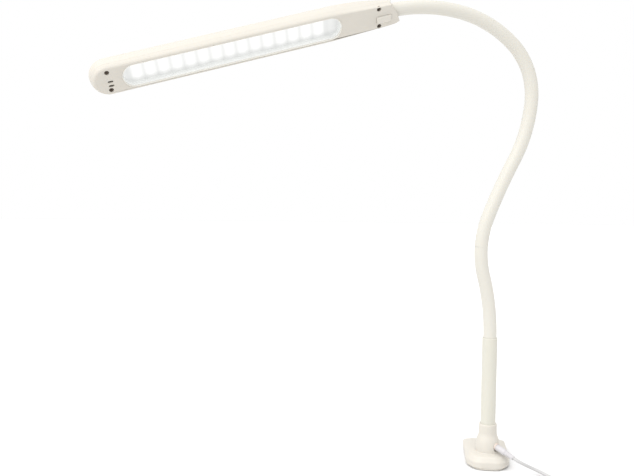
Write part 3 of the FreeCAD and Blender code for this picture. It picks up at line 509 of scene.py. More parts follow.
half_wide, half_nose = base_high.x, 14.5 * MM
nose_y, shoulder_y, rear_y = base_low.y, base_low.y + 14.5 * MM, base_high.y
base_outline = rounded_outline(
    [(half_wide, shoulder_y), (half_wide, rear_y), (-half_wide, rear_y), (-half_wide, shoulder_y),
     (-half_nose, nose_y), (half_nose, nose_y)],
    [20.0 * MM, 8.0 * MM, 8.0 * MM, 20.0 * MM, 14.0 * MM, 14.0 * MM], 168)

# The shell's outside from its foot to the post's rim: how far out it is between the post's foot (0)
# and the wall (1), with the extra radius of the post, and its height.
shell_profile = [(1.0, base_low.z), (1.0, WALL_TOP - 0.6 * MM), (0.995, WALL_TOP - 0.15 * MM),
                 (0.98, WALL_TOP + 0.2 * MM), (0.93, WALL_TOP + 1.0 * MM), (0.86, WALL_TOP + 2.1 * MM),
                 (0.79, WALL_TOP + 3.2 * MM), (0.72, WALL_TOP + 4.25 * MM), (0.67, WALL_TOP + 4.85 * MM),
                 (0.61, WALL_TOP + 5.25 * MM), (0.45, WALL_TOP + 5.75 * MM), (0.3, WALL_TOP + 6.1 * MM),
                 (0.15, WALL_TOP + 6.4 * MM), (0.03, PILLOW_TOP)]
shell = bmesh.new()
shell_rings = []
for spread, height in shell_profile:
    ring = []
    for spot in base_outline:
        foot = spot.normalized() * FLARE_RADIUS
        out = foot.lerp(spot, spread)
        ring.append(shell.verts.new((out.x, out.y, height)))
    shell_rings.append(ring)
FLARE = [(15.7, 13.3), (17.5, 13.25), (20.0, 13.1), (22.5, 12.9), (25.0, 12.5), (27.0, 12.1), (28.8, 11.6),
         (30.4, 11.0), (31.8, 10.45), (33.2, 10.0), (34.8, 9.73), (36.8, 9.62), (38.5, 9.6)]
for height, radius in FLARE:
    shell_rings.append([shell.verts.new((*(spot.normalized() * radius * MM), height * MM))
                        for spot in base_outline])
RIM = 0.9 * MM
rim_profile = [(POST_RADIUS, POST_TOP - RIM - 0.3 * MM), (POST_RADIUS - 0.06 * MM, POST_TOP - RIM),
               (POST_RADIUS - RIM * 0.55, POST_TOP - RIM * 0.4), (POST_RADIUS - RIM, POST_TOP),
               (8.1 * MM, POST_TOP), (8.01 * MM, POST_TOP - 0.1 * MM), (8.01 * MM, 32.0 * MM),
               (6.0 * MM, 31.0 * MM), (6.0 * MM, 28.0 * MM), (7.6 * MM, 26.0 * MM), (POST_HOLLOW, 14.0 * MM)]
for radius, height in rim_profile:
    shell_rings.append([shell.verts.new((*(spot.normalized() * radius), height)) for spot in base_outline])
for spread, height in ((0.5, 12.0 * MM), (1.0, 7.6 * MM), (1.0, base_low.z)):
    ring = []
    for spot in base_outline:
        inner = spot * (1 - BASE_WALL / spot.length)
        out = (spot.normalized() * POST_HOLLOW).lerp(inner, spread)
        ring.append(shell.verts.new((out.x, out.y, height)))
    shell_rings.append(ring)
for low, high in zip(shell_rings, shell_rings[1:] + shell_rings[:1]):
    for step in range(len(base_outline)):
        after = (step + 1) % len(base_outline)
        shell.faces.new((low[step], low[after], high[after], high[step]))
bmesh.ops.recalc_face_normals(shell, faces=shell.faces)


def carve(piece, cutters):
    """Cuts closed shapes out of a piece and leaves a plain mesh."""
    for cutter in cutters:
        step = piece.modifiers.new("cut", "BOOLEAN")
        step.operation = "DIFFERENCE"
        step.solver = "EXACT"
        step.object = cutter
    scene_graph = bpy.context.evaluated_depsgraph_get()
    cut = bpy.data.meshes.new_from_object(piece.evaluated_get(scene_graph))
    piece.modifiers.clear()
    piece.data = cut
    for cutter in cutters:
        bpy.data.objects.remove(cutter)
    piece.data.shade_smooth()
    piece.data.set_sharp_from_angle(angle=math.radians(32.0))


base_shell = object_from("base_casing", shell, ivory, 32.0)
jack_radius = 4.1 * MM
socket_cut = lathe("socket_cut", [(-14.0 * MM, jack_radius), (-1.1 * MM, jack_radius),
                                  (2.0 * MM, jack_radius + 1.2 * MM), (6.0 * MM, jack_radius + 1.2 * MM)],
                   jack_mouth, jack_way, ivory)
carve(base_shell, [socket_cut])
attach(base_shell, "base")
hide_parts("base_shell")

# ---- Base plate, foot pad and fixings ---------------------------------------------------------------
# A flat cream plate closes the base and is held by zinc-plated screws. A thin rubber pad covers it,
# and two brass inserts take the screws of a clamp or clip.
dress("base_plate", ivory)
rubber = moulded_finish("pad_rubber", (0.33, 0.33, 0.34), 0.75)
dress("base_pad", rubber)
zinc = metal_finish("screw_zinc", (0.42, 0.41, 0.40), 0.32)
for node in ("plate_screws", "grub_screw"):
    dress(node, zinc)
brass = metal_finish("insert_brass", (0.75, 0.56, 0.26), 0.25)
for node in ("threaded_inserts", "neck_stud", "neck_nut"):
    dress(node, brass)
# The jack's section, back to front and round to its bore: how far along its axis, and its radius.
JACK_FACE = [(-10.5, 1.8), (-10.5, 4.04), (0.4, 4.06), (0.9, 4.0), (1.15, 3.85), (1.1, 3.66), (0.2, 3.56),
             (-2.6, 1.8), (-10.5, 1.8)]
jack = lathe("supply_jack", [(along * MM, radius * MM) for along, radius in JACK_FACE], jack_mouth, jack_way,
             moulded_finish("jack_ivory", (0.58, 0.50, 0.44)))
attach(jack, "base")
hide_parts("jack_body")
dress("base_wires", moulded_finish("wire_grey", (0.62, 0.62, 0.64), 0.4))

# ---- Sleeve tube ----------------------------------------------------------------------------------
# A drawn steel tube, painted cream, with a rolled lip at its mouth where the gooseneck comes out.
paint = ivory_finish("sleeve_enamel", (0.57, 0.555, 0.49), 0.34, 0.00005)
sleeve_low, sleeve_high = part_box("sleeve_tube")
SLEEVE_RADIUS = 8.0 * MM
SLEEVE_BORE = 7.06 * MM
LIP = 0.45 * MM
foot_z, top_z = sleeve_low[2], sleeve_high[2]
sleeve_profile = [(foot_z, SLEEVE_BORE), (foot_z, SLEEVE_RADIUS)]
sleeve_profile += [(foot_z + (top_z - 1.2 * MM - foot_z) * step / 12, SLEEVE_RADIUS) for step in range(1, 13)]
sleeve_profile += [(top_z - LIP + LIP * math.sin(math.radians(angle)),
                    SLEEVE_RADIUS - LIP + LIP * math.cos(math.radians(angle))) for angle in (0, 30, 60, 90)]
sleeve_profile += [(top_z, SLEEVE_BORE + 0.2 * MM), (top_z - 0.2 * MM, SLEEVE_BORE), (foot_z, SLEEVE_BORE)]
sleeve = lathe("sleeve_enamelled", sleeve_profile, Vector((0, 0, 0)), Vector((0, 0, 1)), paint, 64)
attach(sleeve, "base")
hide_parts("sleeve_tube")

# ---- Gooseneck ------------------------------------------------------------------------------------
# A wound steel core in a smooth cream PVC skin. Both follow one curved line from the sleeve's mouth
# to the head: each stretch runs from the middle of one link to the middle of the next and curves at the hinge.
joints = {joint["name"]: joint for joint in frame["joints"]}
link_joints = [joint for joint in frame["joints"] if joint["child"].startswith("neck_link_")]
link_joints.sort(key=lambda joint: int(joint["child"].rsplit("_", 1)[1]))
hinges = [Vector(joint["pos_m"]) for joint in link_joints] + [Vector(joints["head_roll"]["pos_m"])]
NECK_STEPS = 24


def neck_line():
    """Every link's arc as points and directions: each arc leaves its hinge the way the last one came."""
    way = Vector((0, 0, 1))
    arcs = []
    for start, end in zip(hinges, hinges[1:]):
        chord = end - start
        half_turn = way.angle(chord)
        side = (chord - way * chord.dot(way)).normalized()
        radius = chord.length / (2 * math.sin(half_turn))
        arc = []
        for step in range(NECK_STEPS + 1):
            angle = 2 * half_turn * step / NECK_STEPS
            spot = start + way * (radius * math.sin(angle)) + side * (radius * (1 - math.cos(angle)))
            arc.append((spot, way * math.cos(angle) + side * math.sin(angle)))
        arcs.append(arc)
        way = arc[-1][1]
    return arcs


arcs = neck_line()
NECK_RADIUS = 7.0 * MM
CORE_RADIUS = 4.3 * MM
CORE_RIB = 0.25 * MM
ROOT_FOOT = 60.0 * MM
ROOT_STEP = 5.0 * MM
sleeve_inside = [(Vector((0, 0, ROOT_FOOT + ROOT_STEP * step)), Vector((0, 0, 1)))
                 for step in range(int((hinges[0].z - ROOT_FOOT) / ROOT_STEP))]
# How far each side of a hinge a bend would reach; the first hinge has the stiff sleeve below it.
# The stretches are not made to bend, so the ends worked out from these reaches are not used.
BEND_REACH = 18.0 * MM
SLEEVE_REACH = (2.0 * MM, 15.0 * MM)
bodies_up = ["base"] + [joint["child"] for joint in link_joints]


def bent_sweep_tree(finish):
    """Nodes that sweep a round, ribbed section along a line: radius, rib height and rib pitch are inputs."""
    tree = bpy.data.node_groups.new("bent_sweep", "GeometryNodeTree")
    face = tree.interface
    face.new_socket("Geometry", in_out="INPUT", socket_type="NodeSocketGeometry")
    inputs = {}
    for label, value in (("Radius", 0.007), ("Rib height", 0.0), ("Rib pitch", 0.0024)):
        socket = face.new_socket(label, in_out="INPUT", socket_type="NodeSocketFloat")
        socket.default_value = value
        inputs[label] = socket.identifier
    face.new_socket("Geometry", in_out="OUTPUT", socket_type="NodeSocketGeometry")
    nodes, links = tree.nodes, tree.links
    entry, leave = nodes.new("NodeGroupInput"), nodes.new("NodeGroupOutput")
    line = nodes.new("GeometryNodeMeshToCurve")
    even = nodes.new("GeometryNodeResampleCurve")
    even.mode = "LENGTH"
    even.inputs["Length"].default_value = 0.0008
    travel = nodes.new("GeometryNodeSplineParameter")
    phase = nodes.new("ShaderNodeMath")
    phase.operation = "DIVIDE"
    turn = nodes.new("ShaderNodeMath")
    turn.operation = "MULTIPLY"
    turn.inputs[1].default_value = 2 * math.pi
    wave = nodes.new("ShaderNodeMath")
    wave.operation = "COSINE"
    ridge = nodes.new("ShaderNodeMath")
    ridge.operation = "MULTIPLY_ADD"
    thick = nodes.new("GeometryNodeSetCurveRadius")
    ring = nodes.new("GeometryNodeCurvePrimitiveCircle")
    ring.inputs["Resolution"].default_value = 40
    ring.inputs["Radius"].default_value = 1.0
    sweep = nodes.new("GeometryNodeCurveToMesh")
    real = nodes.new("GeometryNodeRealizeInstances")
    coat = nodes.new("GeometryNodeSetMaterial")
    coat.inputs["Material"].default_value = finish.material
    links.new(entry.outputs["Geometry"], line.inputs[0])
    links.new(line.outputs[0], even.inputs["Curve"])
    links.new(travel.outputs["Length"], phase.inputs[0])
    links.new(entry.outputs["Rib pitch"], phase.inputs[1])
    links.new(phase.outputs[0], turn.inputs[0])
    links.new(turn.outputs[0], wave.inputs[0])
    links.new(wave.outputs[0], ridge.inputs[0])
    links.new(entry.outputs["Rib height"], ridge.inputs[1])
    links.new(entry.outputs["Radius"], ridge.inputs[2])
    links.new(even.outputs["Curve"], thick.inputs["Curve"])
    links.new(ridge.outputs[0], thick.inputs["Radius"])
    links.new(thick.outputs["Curve"], sweep.inputs["Curve"])
    links.new(ring.outputs["Curve"], sweep.inputs["Profile Curve"])
    links.new(ridge.outputs[0], sweep.inputs["Scale"])
    links.new(sweep.outputs[0], real.inputs[0])
    links.new(real.outputs[0], coat.inputs["Geometry"])
    links.new(coat.outputs[0], leave.inputs[0])
    return tree, inputs


def neck_stretch(name, line, tree, inputs, sizes, finish):
    """One stretch of the neck as a plain mesh, swept along its line of points."""
    data = bpy.data.meshes.new(name + "_line")
    data.from_pydata([spot for spot, way in line], [(i, i + 1) for i in range(len(line) - 1)], [])
    piece = bpy.data.objects.new(name, data)
    bpy.context.scene.collection.objects.link(piece)
    step = piece.modifiers.new("sweep", "NODES")
    step.node_group = tree
    for label, value in sizes.items():
        step[inputs[label]] = value
    scene_graph = bpy.context.evaluated_depsgraph_get()
    swept = bpy.data.meshes.new_from_object(piece.evaluated_get(scene_graph))
    piece.modifiers.clear()
    piece.data = swept
    swept.shade_smooth()
    if not swept.materials:
        swept.materials.append(finish.material)
    return piece


def skin_finish():
    """Soft PVC skin, a little glossier than the mouldings, with faint stretch marks round it."""
    finish = Finish("neck_pvc")
    cloud = finish.noise(30.0, 3.0)
    peel = finish.noise(1500.0, 3.0)
    smear = finish.noise(160.0, 5.0, 0.6)
    finish.put(Base_Color=finish.tint(cloud, (0.59, 0.57, 0.515), (0.605, 0.585, 0.53)),
               Roughness=smear * 0.16 + 0.34, Normal=finish.bump(peel, 0.00003, 0.5))
    finish.shader.inputs["Specular IOR Level"].default_value = 0.35
    finish.shader.inputs["Subsurface Weight"].default_value = 0.06
    finish.shader.inputs["Subsurface Radius"].default_value = (0.004, 0.003, 0.002)
    return finish


skin = skin_finish()
core_steel = metal_finish("core_steel", (0.5, 0.5, 0.52), 0.3)
skin_tree, skin_inputs = bent_sweep_tree(skin)
core_tree, core_inputs = bent_sweep_tree(core_steel)
half_link = NECK_STEPS // 2
for index, joint in enumerate(link_joints):
    below = sleeve_inside if index == 0 else arcs[index - 1][half_link:-1]
    above = arcs[index] if index == len(link_joints) - 1 else arcs[index][:half_link + 1]
    line = below + above
    hinge, way = arcs[index][0]
    under, over = SLEEVE_REACH if index == 0 else (BEND_REACH, BEND_REACH)
    bend_from = hinge - way * under
    bend_to = hinge + way * over
    for kind, radius, rib, tree, inputs, finish, slot in (
            ("skin", NECK_RADIUS, 0.0, skin_tree, skin_inputs, skin, "neck_skin"),
            ("core", CORE_RADIUS, CORE_RIB, core_tree, core_inputs, core_steel, "core_steel")):
        name = "gooseneck_%s_%d" % (kind, index + 1)
        stretch = neck_stretch(name, line, tree, inputs, {"Radius": radius, "Rib height": rib}, finish)
        bodies_up[index + 1]
        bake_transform(stretch)
        nodes = ["neck_%s_%d" % (kind, index + 1)]
        if index == 0:
            nodes.append("neck_root_" + kind)
        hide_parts(*nodes)
wire_pvc = moulded_finish("wire_pvc", (0.6, 0.6, 0.62), 0.4)
for number in range(1, len(link_joints) + 1):
    dress("neck_wire_%d" % number, wire_pvc)
dress("head_wires", wire_pvc)

# ---- Head: casing ---------------------------------------------------------------------------------
# Two cream ABS shells, satin outside. The lower one has the window, the switch and the screw wells in
# a flat face with softly rolled edges, and its nose covers the end of the neck. The upper one has a
# broad rounded crown that slopes down to the collar.
neck_end = hinges[-1]
head_x = Vector(joints["head_roll"]["axis"]).normalized()
head_z = Vector(joints["switch_press"]["axis"]).normalized()
head_y = head_z.cross(head_x)
head = Matrix((head_x, head_y, head_z)).transposed().to_4x4()
head.translation = neck_end
FACE = -9.0
PART_LINE = -4.0
CROWN = 11.5
HEAD_WALL = 1.8
TIP = 283.0
HEEL = 1.0
BODY_HALF = 15.2
HEEL_HALF_HIGH = 8.9
HEEL_NARROWS = 3.6
TAPER_LENGTH = 62.0


def half_width(x, height):
    """Half the head's width at its widest, which narrows to the heel, more so towards the crown."""
    low = BODY_HALF - HEEL_NARROWS * max(1.0 - x / TAPER_LENGTH, 0.0) ** 0.95
    inset = BODY_HALF - HEEL_HALF_HIGH
    sweep = (inset ** 2 + TAPER_LENGTH ** 2) / (2 * inset)
    away = min(max(TAPER_LENGTH - x, 0.0), TAPER_LENGTH)
    high = BODY_HALF - sweep + math.sqrt(sweep ** 2 - away ** 2)
    mix = min(max((height - PART_LINE) / 9.0, 0.0), 1.0)
    return low + (high - low) * mix * mix * (3 - 2 * mix)


def head_plan(height):
    """The head's plan at a height: points and outward directions, heel to round tip and back."""
    stations = [HEEL + 3.0 * step for step in range(22)]
    stations += [65.0 + (TIP - 65.0) * step / 44 for step in range(45)]
    side = [Vector((x, half_width(x, height))) for x in stations]
    for step in range(1, 17):
        angle = math.radians(90.0 * step / 16)
        side.append(Vector((TIP + BODY_HALF * math.sin(angle), BODY_HALF * math.cos(angle))))
    loop = side + [Vector((spot.x, -spot.y)) for spot in reversed(side[:-1])]
    last = len(loop) - 1
    plan = []
    for index, spot in enumerate(loop):
        along = loop[min(index + 1, last)] - loop[max(index - 1, 0)]
        out = Vector((-along.y, along.x)).normalized()
        plan.append((spot, Vector((0.0, out.y)).normalized() if index in (0, last) else out))
    return plan


def tight(out, height, half):
    """Near the narrow heel the roll below the part line is tighter, so that the face stays wide."""
    if out >= 0.0 or height > PART_LINE:
        return out
    return out * min(half / BODY_HALF, 1.0) ** 4


def wall_rings(mesh, profile):
    """Rings of vertices round the head; profile gives how far out of its plan and how high each is."""
    rings = []
    for out, height in profile:
        ring = []
        for spot, way in head_plan(height):
            place = spot + way * tight(out, height, abs(spot.y) if spot.x < TIP else BODY_HALF)
            ring.append(mesh.verts.new((place.x, place.y, crown_slope(place.x, height))))
        rings.append(ring)
    return rings


def crown_slope(x, height):
    """Above the part line the shell is lower at the heel and rises to its full height."""
    if height <= PART_LINE:
        return height
    rise = min(max(x / TAPER_LENGTH, 0.0), 1.0)
    full = 0.80 + 0.20 * math.sin(rise * math.pi / 2)
    return PART_LINE + (height - PART_LINE) * full


SIDE_OUT = 1.8
SIDE_TOP = 3.0


def side_curve():
    """The rolled side as (out, height) from the flat face up to the crown's edge, all one soft curve."""
    knots = [Vector((-2.95, FACE)), Vector((-0.45, FACE)), Vector((1.3, -3.4)), Vector((SIDE_OUT, SIDE_TOP))]
    curve = []
    for step in range(19):
        share = step / 18
        rest = 1 - share
        curve.append(knots[0] * rest ** 3 + knots[1] * (3 * rest * rest * share)
                     + knots[2] * (3 * rest * share * share) + knots[3] * share ** 3)
    return curve


def side_at(height):
    """How far out the side's curve is at a height."""
    curve = side_curve()
    for low, high in zip(curve, curve[1:]):
        if low.y <= height <= high.y:
            return low.x + (high.x - low.x) * (height - low.y) / (high.y - low.y)


seam_out = side_at(PART_LINE)
lower_side = [(spot.x, spot.y) for spot in side_curve() if spot.y < PART_LINE - 0.15]
upper_side = [(spot.x, spot.y) for spot in side_curve() if spot.y > PART_LINE + 0.25]
CROWN_BEND = 8.5
crown_side = [(SIDE_OUT - CROWN_BEND * (1 - math.cos(math.radians(9.0 * step))),
               SIDE_TOP + CROWN_BEND * math.sin(math.radians(9.0 * step))) for step in range(1, 11)]


def join_rings(mesh, rings):
    for low, high in zip(rings, rings[1:]):
        for step in range(len(low)):
            after = (step + 1) % len(low)
            mesh.faces.new((low[step], low[after], high[after], high[step]))


def fill_level(mesh, loops):
    """Fills the flat area inside the first loop and outside the others."""
    edges = []
    for loop in loops:
        for step in range(len(loop)):
            pair = (loop[step], loop[(step + 1) % len(loop)])
            edges.append(mesh.edges.get(pair) or mesh.edges.new(pair))
    bmesh.ops.triangle_fill(mesh, use_beauty=True, use_dissolve=False, edges=edges)


def in_row_frame(mesh):
    """Takes a mesh drawn in the head's own millimetres to the lamp's frame."""
    bmesh.ops.recalc_face_normals(mesh, faces=mesh.faces)
    bmesh.ops.transform(mesh, matrix=head @ Matrix.Scale(MM, 4), verts=mesh.verts)


def slot_loop(middle_x, middle_y, length, width, steps):
    """A loop round a slot with round ends, as points."""
    run = (length - width) / 2
    points = []
    for side, first in ((1, -90.0), (-1, 90.0)):
        for step in range(steps + 1):
            angle = math.radians(first + 180.0 * step / steps)
            points.append((middle_x + side * run + width / 2 * math.cos(angle),
                           middle_y + width / 2 * math.sin(angle)))
    return points


WINDOW_X = 161.5
WINDOW_LENGTH = 216.0
WINDOW_WIDTH = 22.0
RIM_WIDTH = 0.9
SWITCH_X, SWITCH_Y = 8.5, -2.4
SWITCH_LONG, SWITCH_WIDE = 15.4, 7.0
SCREWS = [(13.5, -9.1), (13.5, 9.1), (TIP, -9.3), (TIP, 9.3)]
WELL_RADIUS = 2.25
VENTS = [(TIP - 1.2, -0.6), (TIP - 1.2, -5.0)]


def round_box(middle_x, middle_y, length, width, corner, steps=6):
    """A loop round a box with rounded corners, as points."""
    points = []
    for side_x, side_y, first in ((1, -1, -90.0), (1, 1, 0.0), (-1, 1, 90.0), (-1, -1, 180.0)):
        for step in range(steps + 1):
            angle = math.radians(first + 90.0 * step / steps)
            points.append((middle_x + side_x * (length / 2 - corner) + corner * math.cos(angle),
                           middle_y + side_y * (width / 2 - corner) + corner * math.sin(angle)))
    return points


lower = bmesh.new()
outside = wall_rings(lower, [(seam_out - 0.07, PART_LINE), (seam_out, PART_LINE - 0.08)] + lower_side[::-1])
inside = wall_rings(lower, [(seam_out - HEAD_WALL, PART_LINE), (-1.9, -5.4), (-3.3, FACE + HEAD_WALL)])
join_rings(lower, outside)
join_rings(lower, inside)
for step in range(len(outside[0])):
    after = (step + 1) % len(outside[0])
    lower.faces.new((outside[0][step], inside[0][step], inside[0][after], outside[0][after]))
openings = [slot_loop(WINDOW_X, 0.0, WINDOW_LENGTH + 2 * RIM_WIDTH, WINDOW_WIDTH + 2 * RIM_WIDTH, 20),
            round_box(SWITCH_X, SWITCH_Y, SWITCH_LONG + 0.2, SWITCH_WIDE + 0.2, 1.1)]
openings += [slot_loop(x, y, 2 * WELL_RADIUS + 1e-4, 2 * WELL_RADIUS, 12) for x, y in SCREWS]
openings += [slot_loop(x, y, 5.2, 2.0, 8) for x, y in VENTS]
face_loops, floor_loops = [outside[-1]], [inside[-1]]
EDGE = 0.22
for loop in openings:
    middle = Vector((sum(x for x, y in loop) / len(loop), sum(y for x, y in loop) / len(loop)))
    rings = []
    for grow, height in ((EDGE, FACE), (EDGE * 0.3, FACE + EDGE * 0.3), (0.0, FACE + EDGE),
                         (0.0, FACE + HEAD_WALL)):
        ring = []
        for index, (x, y) in enumerate(loop):
            along = Vector(loop[(index + 1) % len(loop)]) - Vector(loop[index - 1])
            out = Vector((along.y, -along.x)).normalized()
            ring.append(lower.verts.new((x + out.x * grow, y + out.y * grow, height)))
        rings.append(ring)
    join_rings(lower, rings)
    face_loops.append(rings[0])
    floor_loops.append(rings[-1])
fill_level(lower, face_loops)
fill_level(lower, floor_loops)
in_row_frame(lower)
head_lower = object_from("head_lower_casing", lower, ivory, 30.0)
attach(head_lower, "head")
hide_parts("head_lower_shell")

upper = bmesh.new()
seam_edge = [(seam_out - 0.07, PART_LINE + 0.04), (side_at(PART_LINE + 0.12), PART_LINE + 0.12)]
outside = wall_rings(upper, seam_edge + upper_side + crown_side)
inside = wall_rings(upper, [(seam_out - HEAD_WALL, PART_LINE + 0.04), (-0.2, 3.0), (-2.4, 7.8), (-6.9, 9.4)])
join_rings(upper, outside)
join_rings(upper, inside)
for step in range(len(outside[0])):
    after = (step + 1) % len(outside[0])
    upper.faces.new((outside[0][step], inside[0][step], inside[0][after], outside[0][after]))
for ring in (outside[-1], inside[-1]):
    half_count = len(ring) // 2
    for step in range(half_count):
        corners = list(dict.fromkeys([ring[step], ring[step + 1], ring[-step - 2], ring[-step - 1]]))
        if len(corners) > 2:
            upper.faces.new(corners)
in_row_frame(upper)
bmesh.ops.remove_doubles(upper, verts=upper.verts, dist=1e-7)
head_upper = object_from("head_upper_casing", upper, ivory, 30.0)
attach(head_upper, "head")
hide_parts("head_upper_shell")

# ---- Head: heel scoop -----------------------------------------------------------------------------
# The casing goes on past the heel as a scoop round the neck, in the same cream ABS. Its mouth is cut on
# a slant, so that its lower lip covers the joint of head and neck, and a bulkhead closes it inside.
scoop = bmesh.new()
section = [(0.0, FACE, True)] + [(out, height, False) for out, height in lower_side]
section += [(seam_out, PART_LINE, False)] + [(out, height, False) for out, height in upper_side + crown_side]
section += [(0.0, CROWN, True)]


def scoop_spot(side, out, height, middle, x):
    """A point of the head's skin carried on past the heel, at one place of its section."""
    half = half_width(x, height)
    relax = min(max((HEEL - x) / 8.0, 0.0), 1.0)
    rolled = tight(out, height, half) * (1.0 - relax) + out * relax
    across = 0.0 if middle else side * max(half + rolled, 0.0)
    return Vector((x, across, crown_slope(x, height)))


COLLAR_END = -1.4
# The tongue's edge under the neck: where it crosses the middle, its slant, and how its tip rounds off.
TONGUE_MIDDLE = -5.7
TONGUE_SLANT = 0.85
TIP_ROUND_FROM = -4.0
TIP_ROUND = 0.045
LIP_STEPS = 10
LIP_WALL = 1.3
NECK_HOLE = 7.15
BULKHEAD = 1.8


def lip_reach(spot):
    """Where the heel ends: a slanted tongue under the neck, and a short collar over it."""
    tongue = TONGUE_MIDDLE + TONGUE_SLANT * spot.y + TIP_ROUND * max(TIP_ROUND_FROM - spot.y, 0.0) ** 3
    over = min(max((spot.z + 7.5) / 6.0, 0.0), 1.0)
    over = over * over * (3 - 2 * over)
    reach = tongue + (COLLAR_END - tongue) * over
    bound = HEEL - 0.4
    return (reach + bound - math.sqrt((reach - bound) ** 2 + 1.0)) / 2


strips = []
for side, run in ((1, section), (-1, section[-2:0:-1])):
    for out, height, middle in run:
        mouth = scoop_spot(side, out, height, middle, -5.0)
        lip_x = lip_reach(mouth)
        strip = []
        for step in range(LIP_STEPS + 1):
            share = math.sin(step / LIP_STEPS * math.pi / 2)
            spot = scoop_spot(side, out, height, middle, HEEL + (lip_x - HEEL) * share)
            flat = Vector((0.0, spot.y, spot.z)).normalized()
            strip.append(spot + flat * 0.25 * (share ** 6))
        flat = Vector((0.0, strip[-1].y, strip[-1].z)).normalized()
        strip.append(strip[-1] + Vector((-0.30, 0.0, 0.0)) - flat * 0.25)
        strip.append(strip[-2] + Vector((-0.36, 0.0, 0.0)) - flat * 0.65)
        strip.append(strip[-3] + Vector((-0.20, 0.0, 0.0)) - flat * (LIP_WALL - 0.15))
        strip.append(strip[-4] - flat * LIP_WALL)
        flat = Vector((0.0, strip[0].y, strip[0].z)).normalized()
        inner = flat * max(Vector((0.0, strip[0].y, strip[0].z)).length - LIP_WALL, NECK_HOLE + 0.05)
        hole = flat * NECK_HOLE
        for x, spot in ((HEEL - BULKHEAD, inner), (HEEL - BULKHEAD, hole), (HEEL + BULKHEAD, hole),
                        (HEEL + BULKHEAD, inner)):
            strip.append(Vector((x, spot.y, spot.z)))
        strips.append([scoop.verts.new(spot) for spot in strip])
for before, after in zip(strips, strips[1:] + strips[:1]):
    for step in range(len(before)):
        ahead = (step + 1) % len(before)
        scoop.faces.new((before[step], after[step], after[ahead], before[ahead]))
in_row_frame(scoop)
collar = object_from("heel_scoop", scoop, ivory, 40.0)
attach(collar, "head")

# ---- Head: window ---------------------------------------------------------------------------------
# A polished bevelled rim, a deep white reflector tray and an opal diffuser. The row of LEDs behind
# the diffuser shows as a row of soft bright columns.
window_low, window_high = FACE - 0.25, FACE + HEAD_WALL


def slot_ring(name, profile, finish):
    """A closed ring that runs round the window; profile is (how far out, how high)."""
    ring_mesh = bmesh.new()
    rings = []
    for out, height in profile:
        loop = slot_loop(WINDOW_X, 0.0, WINDOW_LENGTH + 2 * out, WINDOW_WIDTH + 2 * out, 28)
        rings.append([ring_mesh.verts.new((x, y, height)) for x, y in loop])
    join_rings(ring_mesh, rings + rings[:1])
    in_row_frame(ring_mesh)
    return object_from(name, ring_mesh, finish, 40.0)


rim_finish = ivory_finish("rim_polished", (0.70, 0.68, 0.63), 0.12, 0.00001)
bevel = [(0.0, window_high), (0.0, window_low + 0.5), (0.12, window_low + 0.14), (0.4, window_low),
         (0.72, window_low + 0.08), (RIM_WIDTH - 0.03, window_low + 0.3), (RIM_WIDTH - 0.03, window_high)]
rim = slot_ring("window_bevel", bevel, rim_finish)
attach(rim, "head")
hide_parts("window_rim")

tray_finish = moulded_finish("tray_white", (0.82, 0.83, 0.82), 0.35)
TRAY_TOP = window_high + 8.0
TRAY_WALL = 1.0
OPAL_THICK = 1.5
tray_section = [(0.0, window_high), (TRAY_WALL, window_high), (TRAY_WALL, TRAY_TOP), (0.0, TRAY_TOP)]
tray = slot_ring("reflector_walls", tray_section, tray_finish)
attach(tray, "head")
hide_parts("reflector_tray")

LED_PITCH = 12.95
ROW_SHIFT = 3.5
LED_COUNT = 15
opal_mesh = bmesh.new()
rings = []
for out, height in ((-0.02, TRAY_TOP - 0.02), (TRAY_WALL, TRAY_TOP + 0.02),
                    (TRAY_WALL, TRAY_TOP + OPAL_THICK)):
    loop = slot_loop(WINDOW_X, 0.0, WINDOW_LENGTH + 2 * out, WINDOW_WIDTH + 2 * out, 28)
    rings.append([opal_mesh.verts.new((x, y, height)) for x, y in loop])
join_rings(opal_mesh, rings)
opal_mesh.faces.new(rings[0])
opal_mesh.faces.new(list(reversed(rings[-1])))
bmesh.ops.recalc_face_normals(opal_mesh, faces=opal_mesh.faces)
where = opal_mesh.loops.layers.uv.new("window_mm")
for patch in opal_mesh.faces:
    for corner in patch.loops:
        corner[where].uv = (corner.vert.co.x - WINDOW_X, corner.vert.co.y)
bmesh.ops.transform(opal_mesh, matrix=head @ Matrix.Scale(MM, 4), verts=opal_mesh.verts)


def opal_finish():
    """Opal acrylic lit from behind: a bright soft column for each LED, dimmer between and at the ends."""
    finish = Finish("opal_lit")
    spot = finish.add("UVMap", {"uv_map": "window_mm"})
    along = finish.add("SeparateXYZ", {}, {0: spot}, out=0)
    across = finish.add("SeparateXYZ", {}, {0: spot}, out=1)
    along = along - ROW_SHIFT
    phase = along * (2 * math.pi / LED_PITCH)
    column = phase.maths("COSINE", phase, 0.0) * 0.5 + 0.5
    column = column.maths("POWER", column, 0.55)
    reach = along.maths("ABSOLUTE", along, 0.0)
    lit_half = LED_COUNT / 2 * LED_PITCH - 2.0
    inside_row = finish.add("MapRange", {"interpolation_type": "SMOOTHSTEP"},
                            {"Value": reach, "From Min": lit_half, "From Max": lit_half + 5.0,
                             "To Min": 1.0, "To Max": 0.0})
    side = across.maths("ABSOLUTE", across, 0.0)
    middle = finish.add("MapRange", {"interpolation_type": "SMOOTHSTEP"},
                        {"Value": side, "From Min": 5.0, "From Max": 11.0, "To Min": 1.0, "To Max": 0.0})
    glow = (column * 0.5 + 0.5) * (inside_row * 0.55 + 0.45) * (middle * 0.6 + 0.4)
    grain = finish.noise(700.0, 2.0)
    glow = glow * (grain * 0.04 + 0.98)
    warm = finish.tint(glow, (0.50, 0.51, 0.50), (0.92, 0.92, 0.91))
    finish.put(Base_Color=(0.14, 0.14, 0.14, 1.0), Roughness=grain * 0.1 + 0.3, Emission_Color=warm,
               Emission_Strength=1.0)
    return finish


